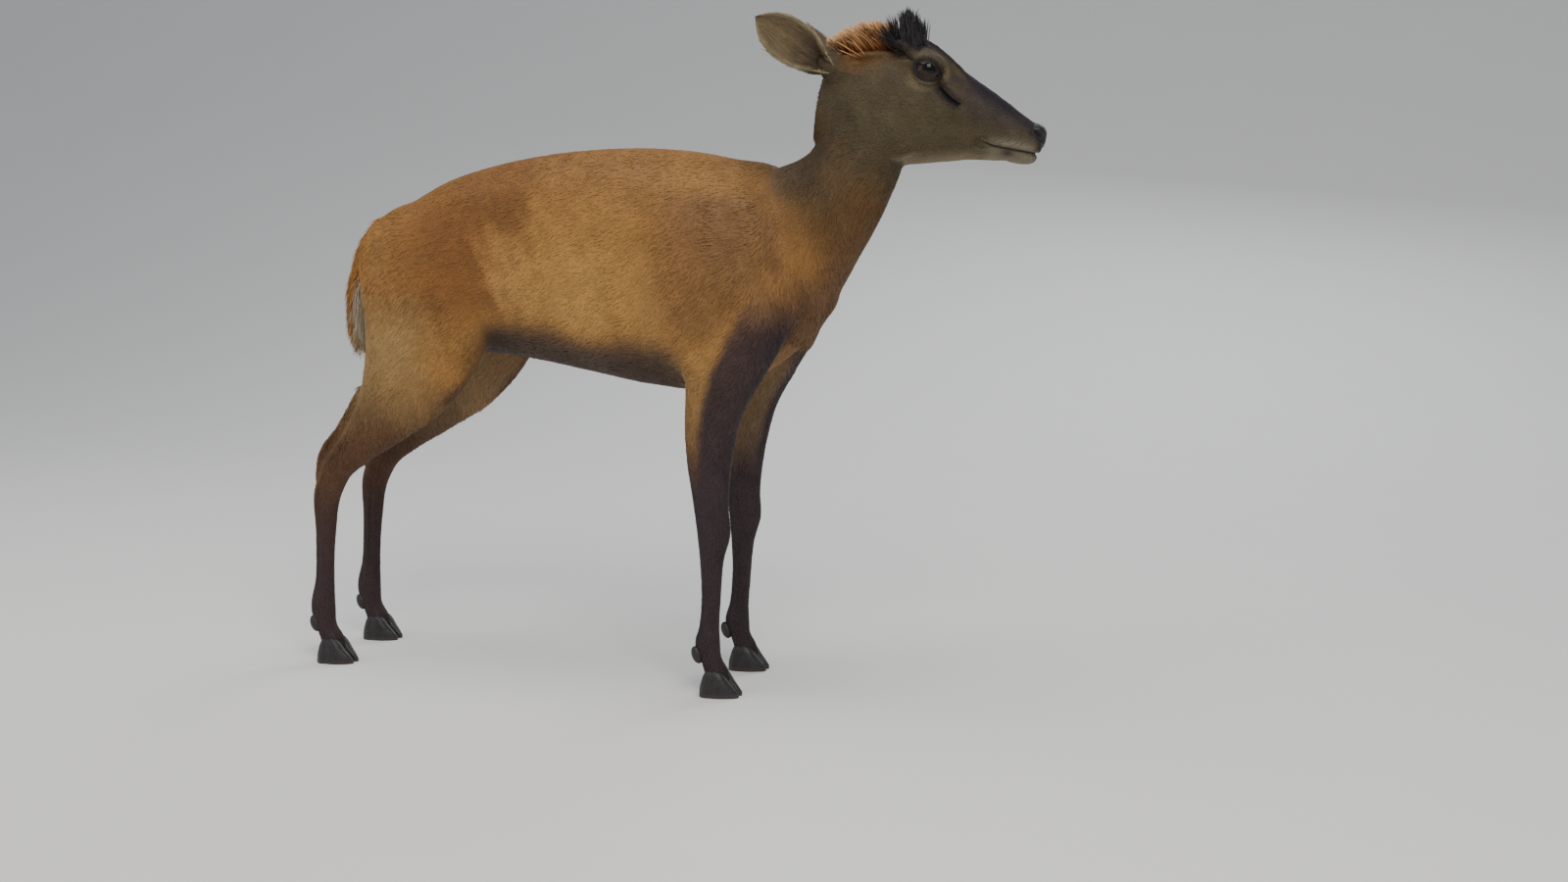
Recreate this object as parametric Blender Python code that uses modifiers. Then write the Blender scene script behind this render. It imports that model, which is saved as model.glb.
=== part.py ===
# Life-size muntjac doe, standing with her head up and her hind legs set back.
# Metres. +X is forward, +Y is the animal's left, +Z is up, and the hooves stand on z = 0.
# Overlapping masses are melted into one body, which thin cuts part into named solids.

import math

import bmesh
import bpy
import numpy as np
from mathutils import Matrix, Vector
from mathutils.bvhtree import BVHTree

# Driving dimensions, in metres.
SHOULDER_HEIGHT = 0.51  # floor to the withers
TRUNK_LENGTH = 0.500  # rump to the point of the chest
TRUNK_WIDTH = 0.190  # across the ribs
HEAD_LENGTH = 0.206  # back of the skull to the nose
EAR_LENGTH = 0.082
EAR_WIDTH = 0.050  # laid flat
EAR_THICKNESS = 0.0022
EYE_RADIUS = 0.0122
TAIL_LOCK = 0.034  # length of the locks along the tail
GAP = 0.0003  # between touching solids

# The pose.
HEAD_PITCH = math.radians(12)  # nose below level
HEAD_TURN = math.radians(9)  # to the animal's left
NOSE_TIP = Vector((0.4415, 0, 0.5345))  # before the neck is turned
TURN_AXIS = Vector((0.215, 0, 0))  # an upright line that the neck turns about
NECK_LOW, NECK_HIGH = 0.455, 0.545  # heights between which the neck turns

REAR = -0.250  # x of the rump
FORE_X, HIND_X = 0.131, -0.289  # x of the fetlocks
STANCE = 0.052  # from the middle to the middle of each foot
SIDES = {"right": -1, "left": 1}

# Colours and roughness of the solids, as the sunlit coat shows them.
FINISHES = {
    "rufous_coat": ((0.40, 0.17, 0.055), 0.85),
    "grey_brown_coat": ((0.20, 0.125, 0.07), 0.85),
    "dark_coat": ((0.055, 0.042, 0.038), 0.85),
    "orange_tuft": ((0.62, 0.30, 0.10), 0.85),
    "tail_coat": ((0.50, 0.30, 0.16), 0.85),
    "ear_skin": ((0.30, 0.21, 0.12), 0.80),
    "eye": ((0.012, 0.009, 0.008), 0.06),
    "nose_leather": ((0.018, 0.016, 0.018), 0.35),
    "hoof_horn": ((0.03, 0.026, 0.024), 0.45),
}

SLOTS = {  # start of a solid's name, its finish
    "torso": "rufous_coat",
    "neck": "grey_brown_coat",
    "head": "grey_brown_coat",
    "ear": "ear_skin",
    "eye": "eye",
    "nose": "nose_leather",
    "crown": "orange_tuft",
    "knob": "dark_coat",
    "tail": "tail_coat",
    "foreleg": "dark_coat",
    "hindleg": "dark_coat",
    "hoof": "hoof_horn",
    "dewclaw": "hoof_horn",
}

random = np.random.default_rng(7)


def empty_scene():
    for obj in list(bpy.data.objects):
        bpy.data.objects.remove(obj)


def add_object(name, mesh):
    obj = bpy.data.objects.new(name, mesh)
    bpy.context.scene.collection.objects.link(obj)
    return obj


def mesh_object(name, points, faces):
    mesh = bpy.data.meshes.new(name)
    mesh.from_pydata([tuple(p) for p in points], [], faces)
    mesh.update()
    return add_object(name, mesh)


def along(rows, count):
    """The rows, read at count even steps of a smooth curve through their places."""
    rows = np.array(rows, float)
    reach = np.concatenate([[0], np.cumsum(np.linalg.norm(np.diff(rows[:, :3], axis=0), axis=1))])
    slope = np.gradient(rows, reach, axis=0)
    want = np.linspace(0, reach[-1], count)
    i = np.clip(np.searchsorted(reach, want, side="right") - 1, 0, len(rows) - 2)
    span = (reach[i + 1] - reach[i])[:, None]
    t = (want - reach[i])[:, None] / span
    return (
        (2 * t**3 - 3 * t**2 + 1) * rows[i]
        + (t**3 - 2 * t**2 + t) * span * slope[i]
        + (3 * t**2 - 2 * t**3) * rows[i + 1]
        + (t**3 - t**2) * span * slope[i + 1]
    )


def loft(name, rows, rings=24, sides=24, side=(0, 1, 0), forward=None):
    """A closed tube through oval rings. A row is x, y, z, half width, upper or front reach,
    lower or back reach and squareness, where 2 is an ellipse and 1.5 an almond."""
    rows = along(rows, rings)
    centre = rows[:, :3]
    ahead = np.gradient(centre, axis=0) if forward is None else np.tile(np.array(forward, float), (rings, 1))
    ahead /= np.linalg.norm(ahead, axis=1, keepdims=True)
    across = np.array(side, float) - ahead * (ahead @ np.array(side, float))[:, None]
    across /= np.linalg.norm(across, axis=1, keepdims=True)
    up = np.cross(ahead, across)
    angle = np.arange(sides) * 2 * math.pi / sides
    power = 2 / rows[:, 6:7]
    wide = np.sign(np.cos(angle)) * np.abs(np.cos(angle)) ** power
    tall = np.sign(np.sin(angle)) * np.abs(np.sin(angle)) ** power
    reach = np.where(np.sin(angle) >= 0, rows[:, 4:5], rows[:, 5:6])
    points = (
        centre[:, None]
        + across[:, None] * (rows[:, 3:4] * wide)[..., None]
        + up[:, None] * (reach * tall)[..., None]
    ).reshape(-1, 3)
    ring = np.arange(sides)
    faces = [
        (a + k, a + (k + 1) % sides, a + sides + (k + 1) % sides, a + sides + k)
        for a in range(0, (rings - 1) * sides, sides)
        for k in ring
    ]
    faces += [tuple(ring[::-1]), tuple((rings - 1) * sides + ring)]
    obj = mesh_object(name, points, faces)
    face_out(obj)
    return obj


def ball(name, centre, radii, tilt=0.0, turn=0.0, segments=24, rings=16):
    """An ellipsoid, pitched nose down by tilt and turned about the upright by turn."""
    mesh = bpy.data.meshes.new(name)
    shape = bmesh.new()
    bmesh.ops.create_uvsphere(shape, u_segments=segments, v_segments=rings, radius=1)
    place = (
        Matrix.Translation(centre)
        @ Matrix.Rotation(turn, 4, "Z")
        @ Matrix.Rotation(tilt, 4, "Y")
        @ Matrix.Diagonal((*radii, 1))
    )
    bmesh.ops.transform(shape, matrix=place, verts=shape.verts)
    shape.to_mesh(mesh)
    shape.free()
    return add_object(name, mesh)


def box(name, centre, size, tilt=0.0):
    """A box of these full sizes, pitched about Y."""
    mesh = bpy.data.meshes.new(name)
    shape = bmesh.new()
    bmesh.ops.create_cube(shape, size=1)
    place = Matrix.Translation(centre) @ Matrix.Rotation(tilt, 4, "Y") @ Matrix.Diagonal((*size, 1))
    bmesh.ops.transform(shape, matrix=place, verts=shape.verts)
    shape.to_mesh(mesh)
    shape.free()
    return add_object(name, mesh)


def tube(name, points, radius):
    """A closed tube of one radius along a line of points."""
    data = bpy.data.curves.new(name, "CURVE")
    data.dimensions = "3D"
    data.bevel_depth = radius
    data.bevel_resolution = 1
    data.use_fill_caps = True
    spline = data.splines.new("POLY")
    spline.points.add(len(points) - 1)
    for knot, point in zip(spline.points, points):
        knot.co = (*point, 1)
    curve = add_object(name + "_curve", data)
    bpy.context.view_layer.update()
    graph = bpy.context.evaluated_depsgraph_get()
    mesh = bpy.data.meshes.new_from_object(curve.evaluated_get(graph))
    bpy.data.objects.remove(curve)
    obj = add_object(name, mesh)
    face_out(obj)
    return obj


def face_out(obj):
    """Merges doubled points and turns every face outwards."""
    shape = bmesh.new()
    shape.from_mesh(obj.data)
    bmesh.ops.remove_doubles(shape, verts=shape.verts, dist=1e-6)
    bmesh.ops.recalc_face_normals(shape, faces=shape.faces)
    shape.to_mesh(obj.data)
    shape.free()


def moved(obj, matrix):
    obj.data.transform(matrix)
    return obj


def points_of(obj):
    points = np.empty(len(obj.data.vertices) * 3)
    obj.data.vertices.foreach_get("co", points)
    return points.reshape(-1, 3)


def set_points(obj, points):
    obj.data.vertices.foreach_set("co", np.ascontiguousarray(points).ravel())
    obj.data.update()


def applied(obj):
    """Replaces the object's mesh by what its modifiers make."""
    bpy.context.view_layer.update()
    graph = bpy.context.evaluated_depsgraph_get()
    mesh = bpy.data.meshes.new_from_object(obj.evaluated_get(graph))
    obj.modifiers.clear()
    obj.data = mesh
    return obj


def boolean(obj, others, operation, solver="EXACT"):
    """Joins, cuts or crops obj by the other objects, which are then removed."""
    group = bpy.data.collections.new("cutters")
    for other in others:
        group.objects.link(other)
    modifier = obj.modifiers.new("boolean", "BOOLEAN")
    modifier.operation = operation
    modifier.operand_type = "COLLECTION"
    modifier.collection = group
    modifier.solver = solver
    applied(obj)
    for other in others:
        bpy.data.objects.remove(other)
    bpy.data.collections.remove(group)
    return obj


def largest(obj):
    """Keeps only the largest closed surface of a solid."""
    shape = bmesh.new()
    shape.from_mesh(obj.data)
    shape.verts.ensure_lookup_table()
    unseen, groups = set(shape.verts), []
    while unseen:
        todo, group = [unseen.pop()], set()
        while todo:
            vert = todo.pop()
            group.add(vert)
            for edge in vert.link_edges:
                other = edge.other_vert(vert)
                if other in unseen:
                    unseen.discard(other)
                    todo.append(other)
        groups.append(group)
    main = max(groups, key=len)
    spare = [vert for group in groups if group is not main for vert in group]
    bmesh.ops.delete(shape, geom=spare, context="VERTS")
    shape.to_mesh(obj.data)
    shape.free()
    return obj


def melted(name, forms, grain, passes, faces, stiff=None):
    """Melts overlapping forms into one skin of this many triangles. stiff says how much of the
    smoothing each point takes, from 0 to 1."""
    whole = forms[0]
    shape = bmesh.new()
    for form in forms:
        shape.from_mesh(form.data)
    shape.to_mesh(whole.data)
    shape.free()
    for form in forms[1:]:
        bpy.data.objects.remove(form)
    whole.name = name
    remesh = whole.modifiers.new("melt", "REMESH")
    remesh.mode = "VOXEL"
    remesh.voxel_size = grain
    applied(whole)
    points = points_of(whole)
    group = whole.vertex_groups.new(name="soft")
    weights = np.ones(len(points)) if stiff is None else stiff(points)
    for level in range(1, 11):
        members = np.nonzero(np.round(weights * 10) == level)[0]
        if len(members):
            group.add(members.tolist(), level / 10, "REPLACE")
    smooth = whole.modifiers.new("smooth", "SMOOTH")
    smooth.factor = 0.5
    smooth.iterations = passes
    smooth.vertex_group = group.name
    applied(whole)
    whole.data.calc_loop_triangles()
    thin = whole.modifiers.new("thin", "DECIMATE")
    thin.ratio = faces / len(whole.data.loop_triangles)
    thin.use_collapse_triangulate = True
    applied(whole)
    whole.vertex_groups.clear()
    return largest(whole)


def parted(body, name, centre, size, tilt=0.0):
    """Cuts the piece inside a box out of the body, with a thin gap all round it."""
    piece = add_object(name, body.data.copy())
    boolean(piece, [box("crop", centre, size, tilt)], "INTERSECT")
    wider = [s + 2 * GAP for s in size]
    boolean(body, [box("cut", centre, wider, tilt)], "DIFFERENCE")
    return largest(piece)


def grown(obj, reach):
    """A copy of a solid, larger by this reach all over."""
    copy = add_object(obj.name + "_grown", obj.data.copy())
    normals = np.empty(len(copy.data.vertices) * 3)
    copy.data.vertices.foreach_get("normal", normals)
    set_points(copy, points_of(copy) + normals.reshape(-1, 3) * reach)
    return copy


def cleared(obj, neighbours):
    """Cuts a solid clear of those it grows from."""
    for neighbour in neighbours:
        boolean(obj, [grown(neighbour, GAP)], "DIFFERENCE")
    return largest(obj)


def smoothstep(value, low, high):
    t = np.clip((value - low) / (high - low), 0, 1)
    return t * t * (3 - 2 * t)


# The head is shaped in a frame of its own: along from the back of the skull, across, and up from
# the level of the nose tip.
HEAD_PLACE = (
    Matrix.Translation(TURN_AXIS)
    @ Matrix.Rotation(HEAD_TURN, 4, "Z")
    @ Matrix.Translation(NOSE_TIP - TURN_AXIS)
    @ Matrix.Rotation(HEAD_PITCH, 4, "Y")
    @ Matrix.Translation((-HEAD_LENGTH, 0, 0))
)


def on_head(u, y, v):
    return HEAD_PLACE @ Vector((u, y, v))


def turned(points):
    """Turns points of the neck about an upright line, easing in from the shoulders up."""
    angle = HEAD_TURN * smoothstep(points[:, 2], NECK_LOW, NECK_HIGH)
    x, y = points[:, 0] - TURN_AXIS.x, points[:, 1]
    out = points.copy()
    out[:, 0] = TURN_AXIS.x + x * np.cos(angle) - y * np.sin(angle)
    out[:, 1] = x * np.sin(angle) + y * np.cos(angle)
    return out


def trunk_forms():
    """The trunk is oval rings from rump to chest, with the masses of shoulder and haunch."""
    rows = [  # share of the length, share of the height, half width, rise, drop, squareness
        (0.000, 0.775, 0.22, 0.020, 0.030, 2.0),
        (0.030, 0.775, 0.52, 0.044, 0.060, 2.0),
        (0.090, 0.778, 0.74, 0.070, 0.070, 2.0),
        (0.180, 0.780, 0.84, 0.096, 0.075, 2.1),
        (0.280, 0.778, 0.87, 0.113, 0.076, 2.1),
        (0.390, 0.773, 0.90, 0.126, 0.079, 2.2),
        (0.510, 0.765, 0.96, 0.136, 0.085, 2.2),
        (0.640, 0.760, 1.00, 0.139, 0.093, 2.2),
        (0.770, 0.760, 0.93, 0.131, 0.094, 2.1),
        (0.880, 0.770, 0.74, 0.108, 0.074, 2.0),
        (0.960, 0.780, 0.46, 0.060, 0.044, 2.0),
        (1.000, 0.785, 0.14, 0.020, 0.020, 2.0),
    ]
    rings = [
        (REAR + a * TRUNK_LENGTH, 0, h * SHOULDER_HEIGHT, w * TRUNK_WIDTH / 2, rise, drop, square)
        for a, h, w, rise, drop, square in rows
    ]
    forms = [loft("trunk", rings, rings=30, sides=32, forward=(1, 0, 0))]
    for hand in SIDES.values():
        forms += [
            ball("shoulder_blade", (0.158, hand * 0.038, 0.412), (0.058, 0.037, 0.078), tilt=0.25),
            ball("shoulder_point", (0.176, hand * 0.042, 0.376), (0.042, 0.034, 0.042)),
            ball("haunch", (-0.165, hand * 0.036, 0.400), (0.080, 0.044, 0.076), tilt=0.35),
            ball("inner_thigh", (-0.190, hand * 0.033, 0.335), (0.048, 0.026, 0.052), tilt=0.45),
        ]
    return forms


def neck_forms():
    rows = [
        (0.164, 0, 0.400, 0.062, 0.080, 0.088, 2),
        (0.217, 0, 0.448, 0.053, 0.062, 0.060, 2),
        (0.251, 0, 0.492, 0.044, 0.043, 0.050, 2),
        (0.267, 0, 0.530, 0.039, 0.037, 0.047, 2),
        (0.275, 0, 0.568, 0.036, 0.036, 0.042, 2),
        (0.281, 0, 0.600, 0.030, 0.030, 0.034, 2),
    ]
    neck = loft("neck", rows, rings=18, sides=28)
    set_points(neck, turned(points_of(neck)))
    return [neck]


def head_forms():
    """Skull and muzzle as one run of rings, with cheeks, brows, lid mounds, lips and nose."""
    rows = [  # along, height, half width, rise, drop, squareness
        (-0.010, -0.012, 0.020, 0.026, 0.034, 2.0),
        (0.015, -0.008, 0.032, 0.041, 0.046, 2.1),
        (0.043, -0.004, 0.0365, 0.050, 0.053, 2.2),
        (0.070, 0.001, 0.0380, 0.054, 0.056, 2.3),
        (0.092, 0.004, 0.0360, 0.052, 0.054, 2.3),
        (0.108, 0.003, 0.0315, 0.047, 0.048, 2.2),
        (0.125, 0.002, 0.0265, 0.040, 0.042, 2.2),
        (0.142, 0.000, 0.0235, 0.0340, 0.0350, 2.2),
        (0.160, -0.002, 0.0210, 0.0275, 0.0300, 2.2),
        (0.177, -0.005, 0.0195, 0.0225, 0.0235, 2.2),
        (0.191, -0.006, 0.0175, 0.0175, 0.0180, 2.1),
        (0.201, -0.006, 0.0140, 0.0115, 0.0110, 2.0),
        (0.206, -0.004, 0.0060, 0.0050, 0.0050, 2.0),
    ]
    rings = [(u, 0, h, w, rise, drop, square) for u, h, w, rise, drop, square in rows]
    forms = [
        loft("skull", rings, rings=36, sides=32, forward=(1, 0, 0)),
        ball("nose", (0.1960, 0, 0.0025), (0.0100, 0.0145, 0.0090)),
        ball("chin", (0.1830, 0, -0.0225), (0.0200, 0.0110, 0.0075)),
        ball("crown", (0.0300, 0, 0.0395), (0.0360, 0.0260, 0.0070), tilt=-0.25),
    ]
    for hand in SIDES.values():
        forms += [
            ball("cheek", (0.062, hand * 0.0215, -0.020), (0.036, 0.0175, 0.033), tilt=0.10),
            ball("cheekbone", (0.104, hand * 0.0195, 0.010), (0.050, 0.0125, 0.014), tilt=0.42, turn=-hand * 0.12),
            ball("brow", (0.078, hand * 0.0250, 0.0520), (0.0250, 0.0110, 0.0080), tilt=0.25, turn=-hand * 0.1),
            ball("ridge", (0.106, hand * 0.0135, 0.0475), (0.0360, 0.0055, 0.0060), tilt=0.55, turn=-hand * 0.12),
            ball("knob", (KNOB_U, hand * KNOB_OUT, 0.0560), (0.0105, 0.0085, 0.0085)),
            ball("lids", (EYE_U, hand * EYE_OUT, EYE_UP), LID_RADII, turn=-hand * 0.12),
            ball("lip", (0.178, hand * 0.0095, -0.0090), (0.0270, 0.0110, 0.0085), turn=hand * 0.05),
            ball("ear_root", (EAR_U + 0.008, hand * 0.0200, EAR_UP - 0.002), (0.0220, 0.0130, 0.0150), tilt=0.39, turn=-hand * 0.4),
        ]
    return [moved(form, HEAD_PLACE) for form in forms]


# Places on the head, along, out and up from the mouth's level.
EYE_U, EYE_OUT, EYE_UP = 0.0870, 0.0290, 0.0370
LID_RADII = (0.0168, 0.0138, 0.0148)
EAR_U, EAR_UP = -0.0040, 0.0220
KNOB_U, KNOB_OUT = 0.0675, 0.0215


def foreleg_rows(hand, hoof_x):
    """Forearm, knee, cannon and pastern of a foreleg whose hoof stands at hoof_x."""
    y = hand * STANCE
    lean = hoof_x - FORE_X
    rows = [  # x, out, height, half width, front, back
        (0.196, -0.014, 0.400, 0.016, 0.022, 0.030),
        (0.183, -0.002, 0.366, 0.027, 0.034, 0.046),
        (0.162, 0.004, 0.325, 0.028, 0.034, 0.045),
        (0.146, 0.005, 0.280, 0.0235, 0.026, 0.034),
        (0.139, 0.003, 0.235, 0.0190, 0.021, 0.026),
        (0.138, 0.001, 0.190, 0.0155, 0.0168, 0.0195),
        (0.138, 0.000, 0.158, 0.0150, 0.0163, 0.0158),
        (0.137, 0.000, 0.133, 0.0120, 0.0123, 0.0128),
        (0.136, 0.000, 0.095, 0.0098, 0.0100, 0.0107),
        (0.134, 0.000, 0.065, 0.0102, 0.0102, 0.0117),
        (0.133, 0.000, 0.050, 0.0122, 0.0117, 0.0147),
        (0.136, 0.000, 0.034, 0.0114, 0.0102, 0.0112),
        (0.142, 0.000, 0.020, 0.0130, 0.0115, 0.0120),
        (0.145, 0.000, 0.012, 0.0125, 0.0100, 0.0110),
    ]
    top = rows[0][2]
    return [
        (x + lean * (top - z) / top, y + hand * out, z, half, front, back, 2)
        for x, out, z, half, front, back in rows
    ]


def hindleg_rows(hand, hoof_x):
    """Thigh, shank, hock, cannon and pastern of a hind leg whose hoof stands at hoof_x."""
    y = hand * STANCE
    lean = hoof_x - HIND_X
    rows = [  # x, out, height, half width, front, back
        (-0.145, -0.022, 0.450, 0.018, 0.036, 0.040),
        (-0.152, -0.008, 0.420, 0.032, 0.062, 0.062),
        (-0.158, 0.002, 0.385, 0.035, 0.078, 0.073),
        (-0.167, 0.007, 0.345, 0.031, 0.074, 0.064),
        (-0.188, 0.008, 0.300, 0.026, 0.058, 0.046),
        (-0.216, 0.005, 0.262, 0.021, 0.038, 0.028),
        (-0.245, 0.003, 0.230, 0.0168, 0.0235, 0.0180),
        (-0.268, 0.001, 0.206, 0.0152, 0.0180, 0.0160),
        (-0.281, 0.000, 0.178, 0.0130, 0.0150, 0.0152),
        (-0.285, 0.000, 0.135, 0.0102, 0.0110, 0.0117),
        (-0.288, 0.000, 0.085, 0.0100, 0.0104, 0.0110),
        (-0.290, 0.000, 0.054, 0.0122, 0.0122, 0.0147),
        (-0.287, 0.000, 0.036, 0.0114, 0.0102, 0.0114),
        (-0.280, 0.000, 0.021, 0.0130, 0.0115, 0.0122),
        (-0.276, 0.000, 0.012, 0.0125, 0.0100, 0.0110),
    ]
    top = rows[0][2]
    return [
        (x + lean * smoothstep(top - z, 0, top), y + hand * out, z, half, front, back, 2)
        for x, out, z, half, front, back in rows
    ]


LEGS = {  # hoof place along the body, rows of the leg
    "foreleg_right": (FORE_X + 0.002, foreleg_rows),
    "foreleg_left": (FORE_X - 0.005, foreleg_rows),
    "hindleg_right": (HIND_X, hindleg_rows),
    "hindleg_left": (HIND_X - 0.007, hindleg_rows),
}


def leg_forms():
    forms = []
    for name, (hoof_x, rows) in LEGS.items():
        hand = SIDES[name.split("_")[1]]
        forms.append(loft(name, rows(hand, hoof_x), rings=44, sides=20))
        if rows is hindleg_rows:
            lean = (hoof_x - HIND_X) * 0.75
            heel = [  # the tendon, from the calf to the point of the hock
                (-0.233 + lean, hand * 0.058, 0.290, 0.0060, 0.014, 0.006, 2),
                (-0.261 + lean, hand * 0.055, 0.246, 0.0060, 0.016, 0.006, 2),
                (-0.283 + lean, hand * 0.053, 0.216, 0.0075, 0.016, 0.007, 2),
                (-0.289 + lean, hand * 0.052, 0.192, 0.0080, 0.012, 0.006, 2),
            ]
            forms.append(loft("heel", heel, rings=10, sides=12))
    return forms


def whole_body():
    """The body of one skin, with the legs held stiff so that smoothing doesn't thin them."""

    def soft(points):
        return 0.10 + 0.90 * smoothstep(points[:, 2], 0.24, 0.36)

    forms = trunk_forms() + neck_forms() + head_forms() + leg_forms()
    return melted("torso", forms, grain=0.0034, passes=30, faces=5000, stiff=soft)


def lip_line(surface, hand):
    """Points along the closed mouth, from below the nose to its corner, on the skin."""
    points = []
    for u in np.linspace(0.2060, 0.1520, 12):
        v = -0.0165 - 0.03 * (0.2060 - u) + 0.20 * max(0.0, 0.1620 - u)
        start = on_head(u, hand * 0.06, v)
        inward = (on_head(u, 0, v) - start).normalized()
        hit, normal, _, _ = surface.ray_cast(start, inward)
        if hit is not None:
            points.append(hit)
    return points


def almond(name, hand):
    """A cutter for the opening between the lids."""
    out = EYE_OUT + 0.006
    far = EYE_OUT + 0.030
    rows = [
        (EYE_U, hand * out, EYE_UP, 0.0115, 0.0068, 0.0072, 1.6),
        (EYE_U, hand * (out + far) / 2, EYE_UP, 0.0135, 0.0082, 0.0086, 1.6),
        (EYE_U, hand * far, EYE_UP, 0.0160, 0.0100, 0.0105, 1.6),
    ]
    cutter = loft(name, rows, rings=4, sides=20, side=(1, 0, 0), forward=(0, hand, 0))
    middle = Vector((EYE_U, 0, EYE_UP))
    tilt = Matrix.Translation(middle) @ Matrix.Rotation(0.24, 4, "Y") @ Matrix.Translation(-middle)
    moved(cutter, tilt)
    face_out(cutter)
    return cutter


def make_head():
    """The fine head, with lids, mouth, nostrils and the slits before the eyes."""
    forms = neck_forms() + head_forms()
    head = melted("head", forms, grain=0.0017, passes=10, faces=3000)
    cut_centre, cut_size, cut_tilt = NECK_CUT
    boolean(head, [box("neck_side", cut_centre, [s + 2 * GAP for s in cut_size], cut_tilt)], "DIFFERENCE")
    largest(head)
    bpy.context.view_layer.update()
    surface = BVHTree.FromObject(head, bpy.context.evaluated_depsgraph_get())
    right, left = (lip_line(surface, hand) for hand in (-1, 1))
    line = right[::-1] + left
    cutters = [tube("mouth", line, 0.0011)]
    for hand in SIDES.values():
        eye = (EYE_U, hand * EYE_OUT, EYE_UP)
        shapes = [
            ball("socket", eye, [EYE_RADIUS + 2 * GAP] * 3, segments=16, rings=10),
            almond("opening", hand),
            ball("nostril", (0.2000, hand * 0.0100, 0.0010), (0.0062, 0.0022, 0.0040), tilt=0.5, turn=-hand * 0.55, segments=10, rings=6),
            ball("gland", (0.1120, hand * 0.0290, 0.0200), (0.0115, 0.0052, 0.0019), tilt=0.60, turn=-hand * 0.22, segments=12, rings=6),
        ]
        cutters += [moved(shape, HEAD_PLACE) for shape in shapes]
    boolean(head, cutters, "DIFFERENCE")
    return largest(head)


def make_nose_pad(head):
    """The bare leather between and around the nostrils, parted from the head."""
    spot, size = (0.2010, 0, 0.0030), (0.0120, 0.0135, 0.0105)
    pad = add_object("nose_pad", head.data.copy())
    boolean(pad, [moved(ball("crop", spot, size, segments=16, rings=10), HEAD_PLACE)], "INTERSECT")
    wider = [s + GAP for s in size]
    boolean(head, [moved(ball("cut", spot, wider, segments=16, rings=10), HEAD_PLACE)], "DIFFERENCE")
    largest(head)
    return largest(pad)


def make_eye(side):
    hand = SIDES[side]
    eye = ball("eye_" + side, (EYE_U, hand * EYE_OUT, EYE_UP), [EYE_RADIUS] * 3, segments=16, rings=10)
    return moved(eye, HEAD_PLACE)


def ear_sheet(name):
    """An open cup: each cross-section is an arc whose length is the ear's width there and whose
    curl eases from a tube at the root to a shallow scoop. It stands on Z and opens towards +X."""
    steps, spans = 13, 9
    up = np.linspace(0, 1, steps)
    half = np.interp(up, [0, 0.12, 0.3, 0.5, 0.7, 0.85, 0.95, 1], [0.56, 0.66, 0.92, 1.0, 0.88, 0.60, 0.30, 0.10])
    half = half * EAR_WIDTH / 2
    curl = np.interp(up, [0, 0.15, 0.4, 0.7, 1], [2.55, 2.05, 1.30, 1.0, 0.75])
    radius = half / curl
    arc = np.linspace(-1, 1, spans)
    angle = curl[:, None] * arc
    bow = 0.006 * np.sin(up * math.pi)
    x = radius[:, None] * (1 - np.cos(angle)) - bow[:, None]
    y = radius[:, None] * np.sin(angle)
    z = (up * EAR_LENGTH)[:, None] - 0.002 * (arc**2) * np.ones_like(x)
    points = np.stack([x, y, z], axis=-1).reshape(-1, 3)
    faces = []
    for i in range(steps - 1):
        for j in range(spans - 1):
            a, b, c, d = i * spans + j, i * spans + j + 1, (i + 1) * spans + j + 1, (i + 1) * spans + j
            faces += [(a, b, c), (a, c, d)]
    return mesh_object(name, points, faces)


def make_ear(side, head):
    """Each ear points back, up and out, with its cup turned to the side."""
    hand = SIDES[side]
    ear = ear_sheet("ear_" + side)
    thick = ear.modifiers.new("thickness", "SOLIDIFY")
    thick.thickness = EAR_THICKNESS
    thick.offset = -1
    applied(ear)
    root = Vector((EAR_U, hand * 0.0230, EAR_UP))
    length = Vector((-0.86, hand * 0.36, 0.355)).normalized()
    opening = Vector((0.20, hand * 0.93, -0.15))
    opening = (opening - length * opening.dot(length)).normalized()
    width = length.cross(opening)
    place = Matrix((opening, width, length)).transposed().to_4x4()
    moved(ear, HEAD_PLACE @ Matrix.Translation(root) @ place)
    face_out(ear)
    return cleared(ear, [head])


def lock(root, lift, lie, length, width):
    """A flat lock of hair. It leaves its root along lift, bends over to lie, and tapers to a tip."""
    root, lift, lie = Vector(root), Vector(lift).normalized(), Vector(lie).normalized()
    across = lift.cross(lie).normalized()
    steps = ((0.0, 0.80, 0.34), (0.35, 1.00, 0.30), (0.72, 0.66, 0.22))  # reach, width, thickness
    rings = []
    for t, wide, thick in steps:
        spot = root + length * (lift * (t - 0.55 * t * t) + lie * (0.55 * t * t))
        ahead = (lift * (1 - 1.1 * t) + lie * 1.1 * t).normalized()
        side = across * (width / 2 * wide)
        face = across.cross(ahead) * (width / 2 * thick)
        rings += [spot + side, spot + face, spot - side, spot - face]
    tip = root + length * (lift * 0.45 + lie * 0.55)
    faces = [(3, 2, 1, 0)]
    faces += [(a + k, a + (k + 1) % 4, a + 4 + (k + 1) % 4, a + 4 + k) for a in (0, 4) for k in range(4)]
    faces += [(8 + k, 8 + (k + 1) % 4, 12) for k in range(4)]
    obj = mesh_object("lock", rings + [tip], faces)
    face_out(obj)
    return obj


def skin_above(head, u, y):
    """The place on the top of the head over a point of its frame, and the outward normal there."""
    surface = BVHTree.FromObject(head, bpy.context.evaluated_depsgraph_get())
    down = HEAD_PLACE.to_3x3() @ Vector((0, 0, -1))
    hit, normal, _, _ = surface.ray_cast(on_head(u, y, 0.12), down)
    return hit, normal


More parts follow.
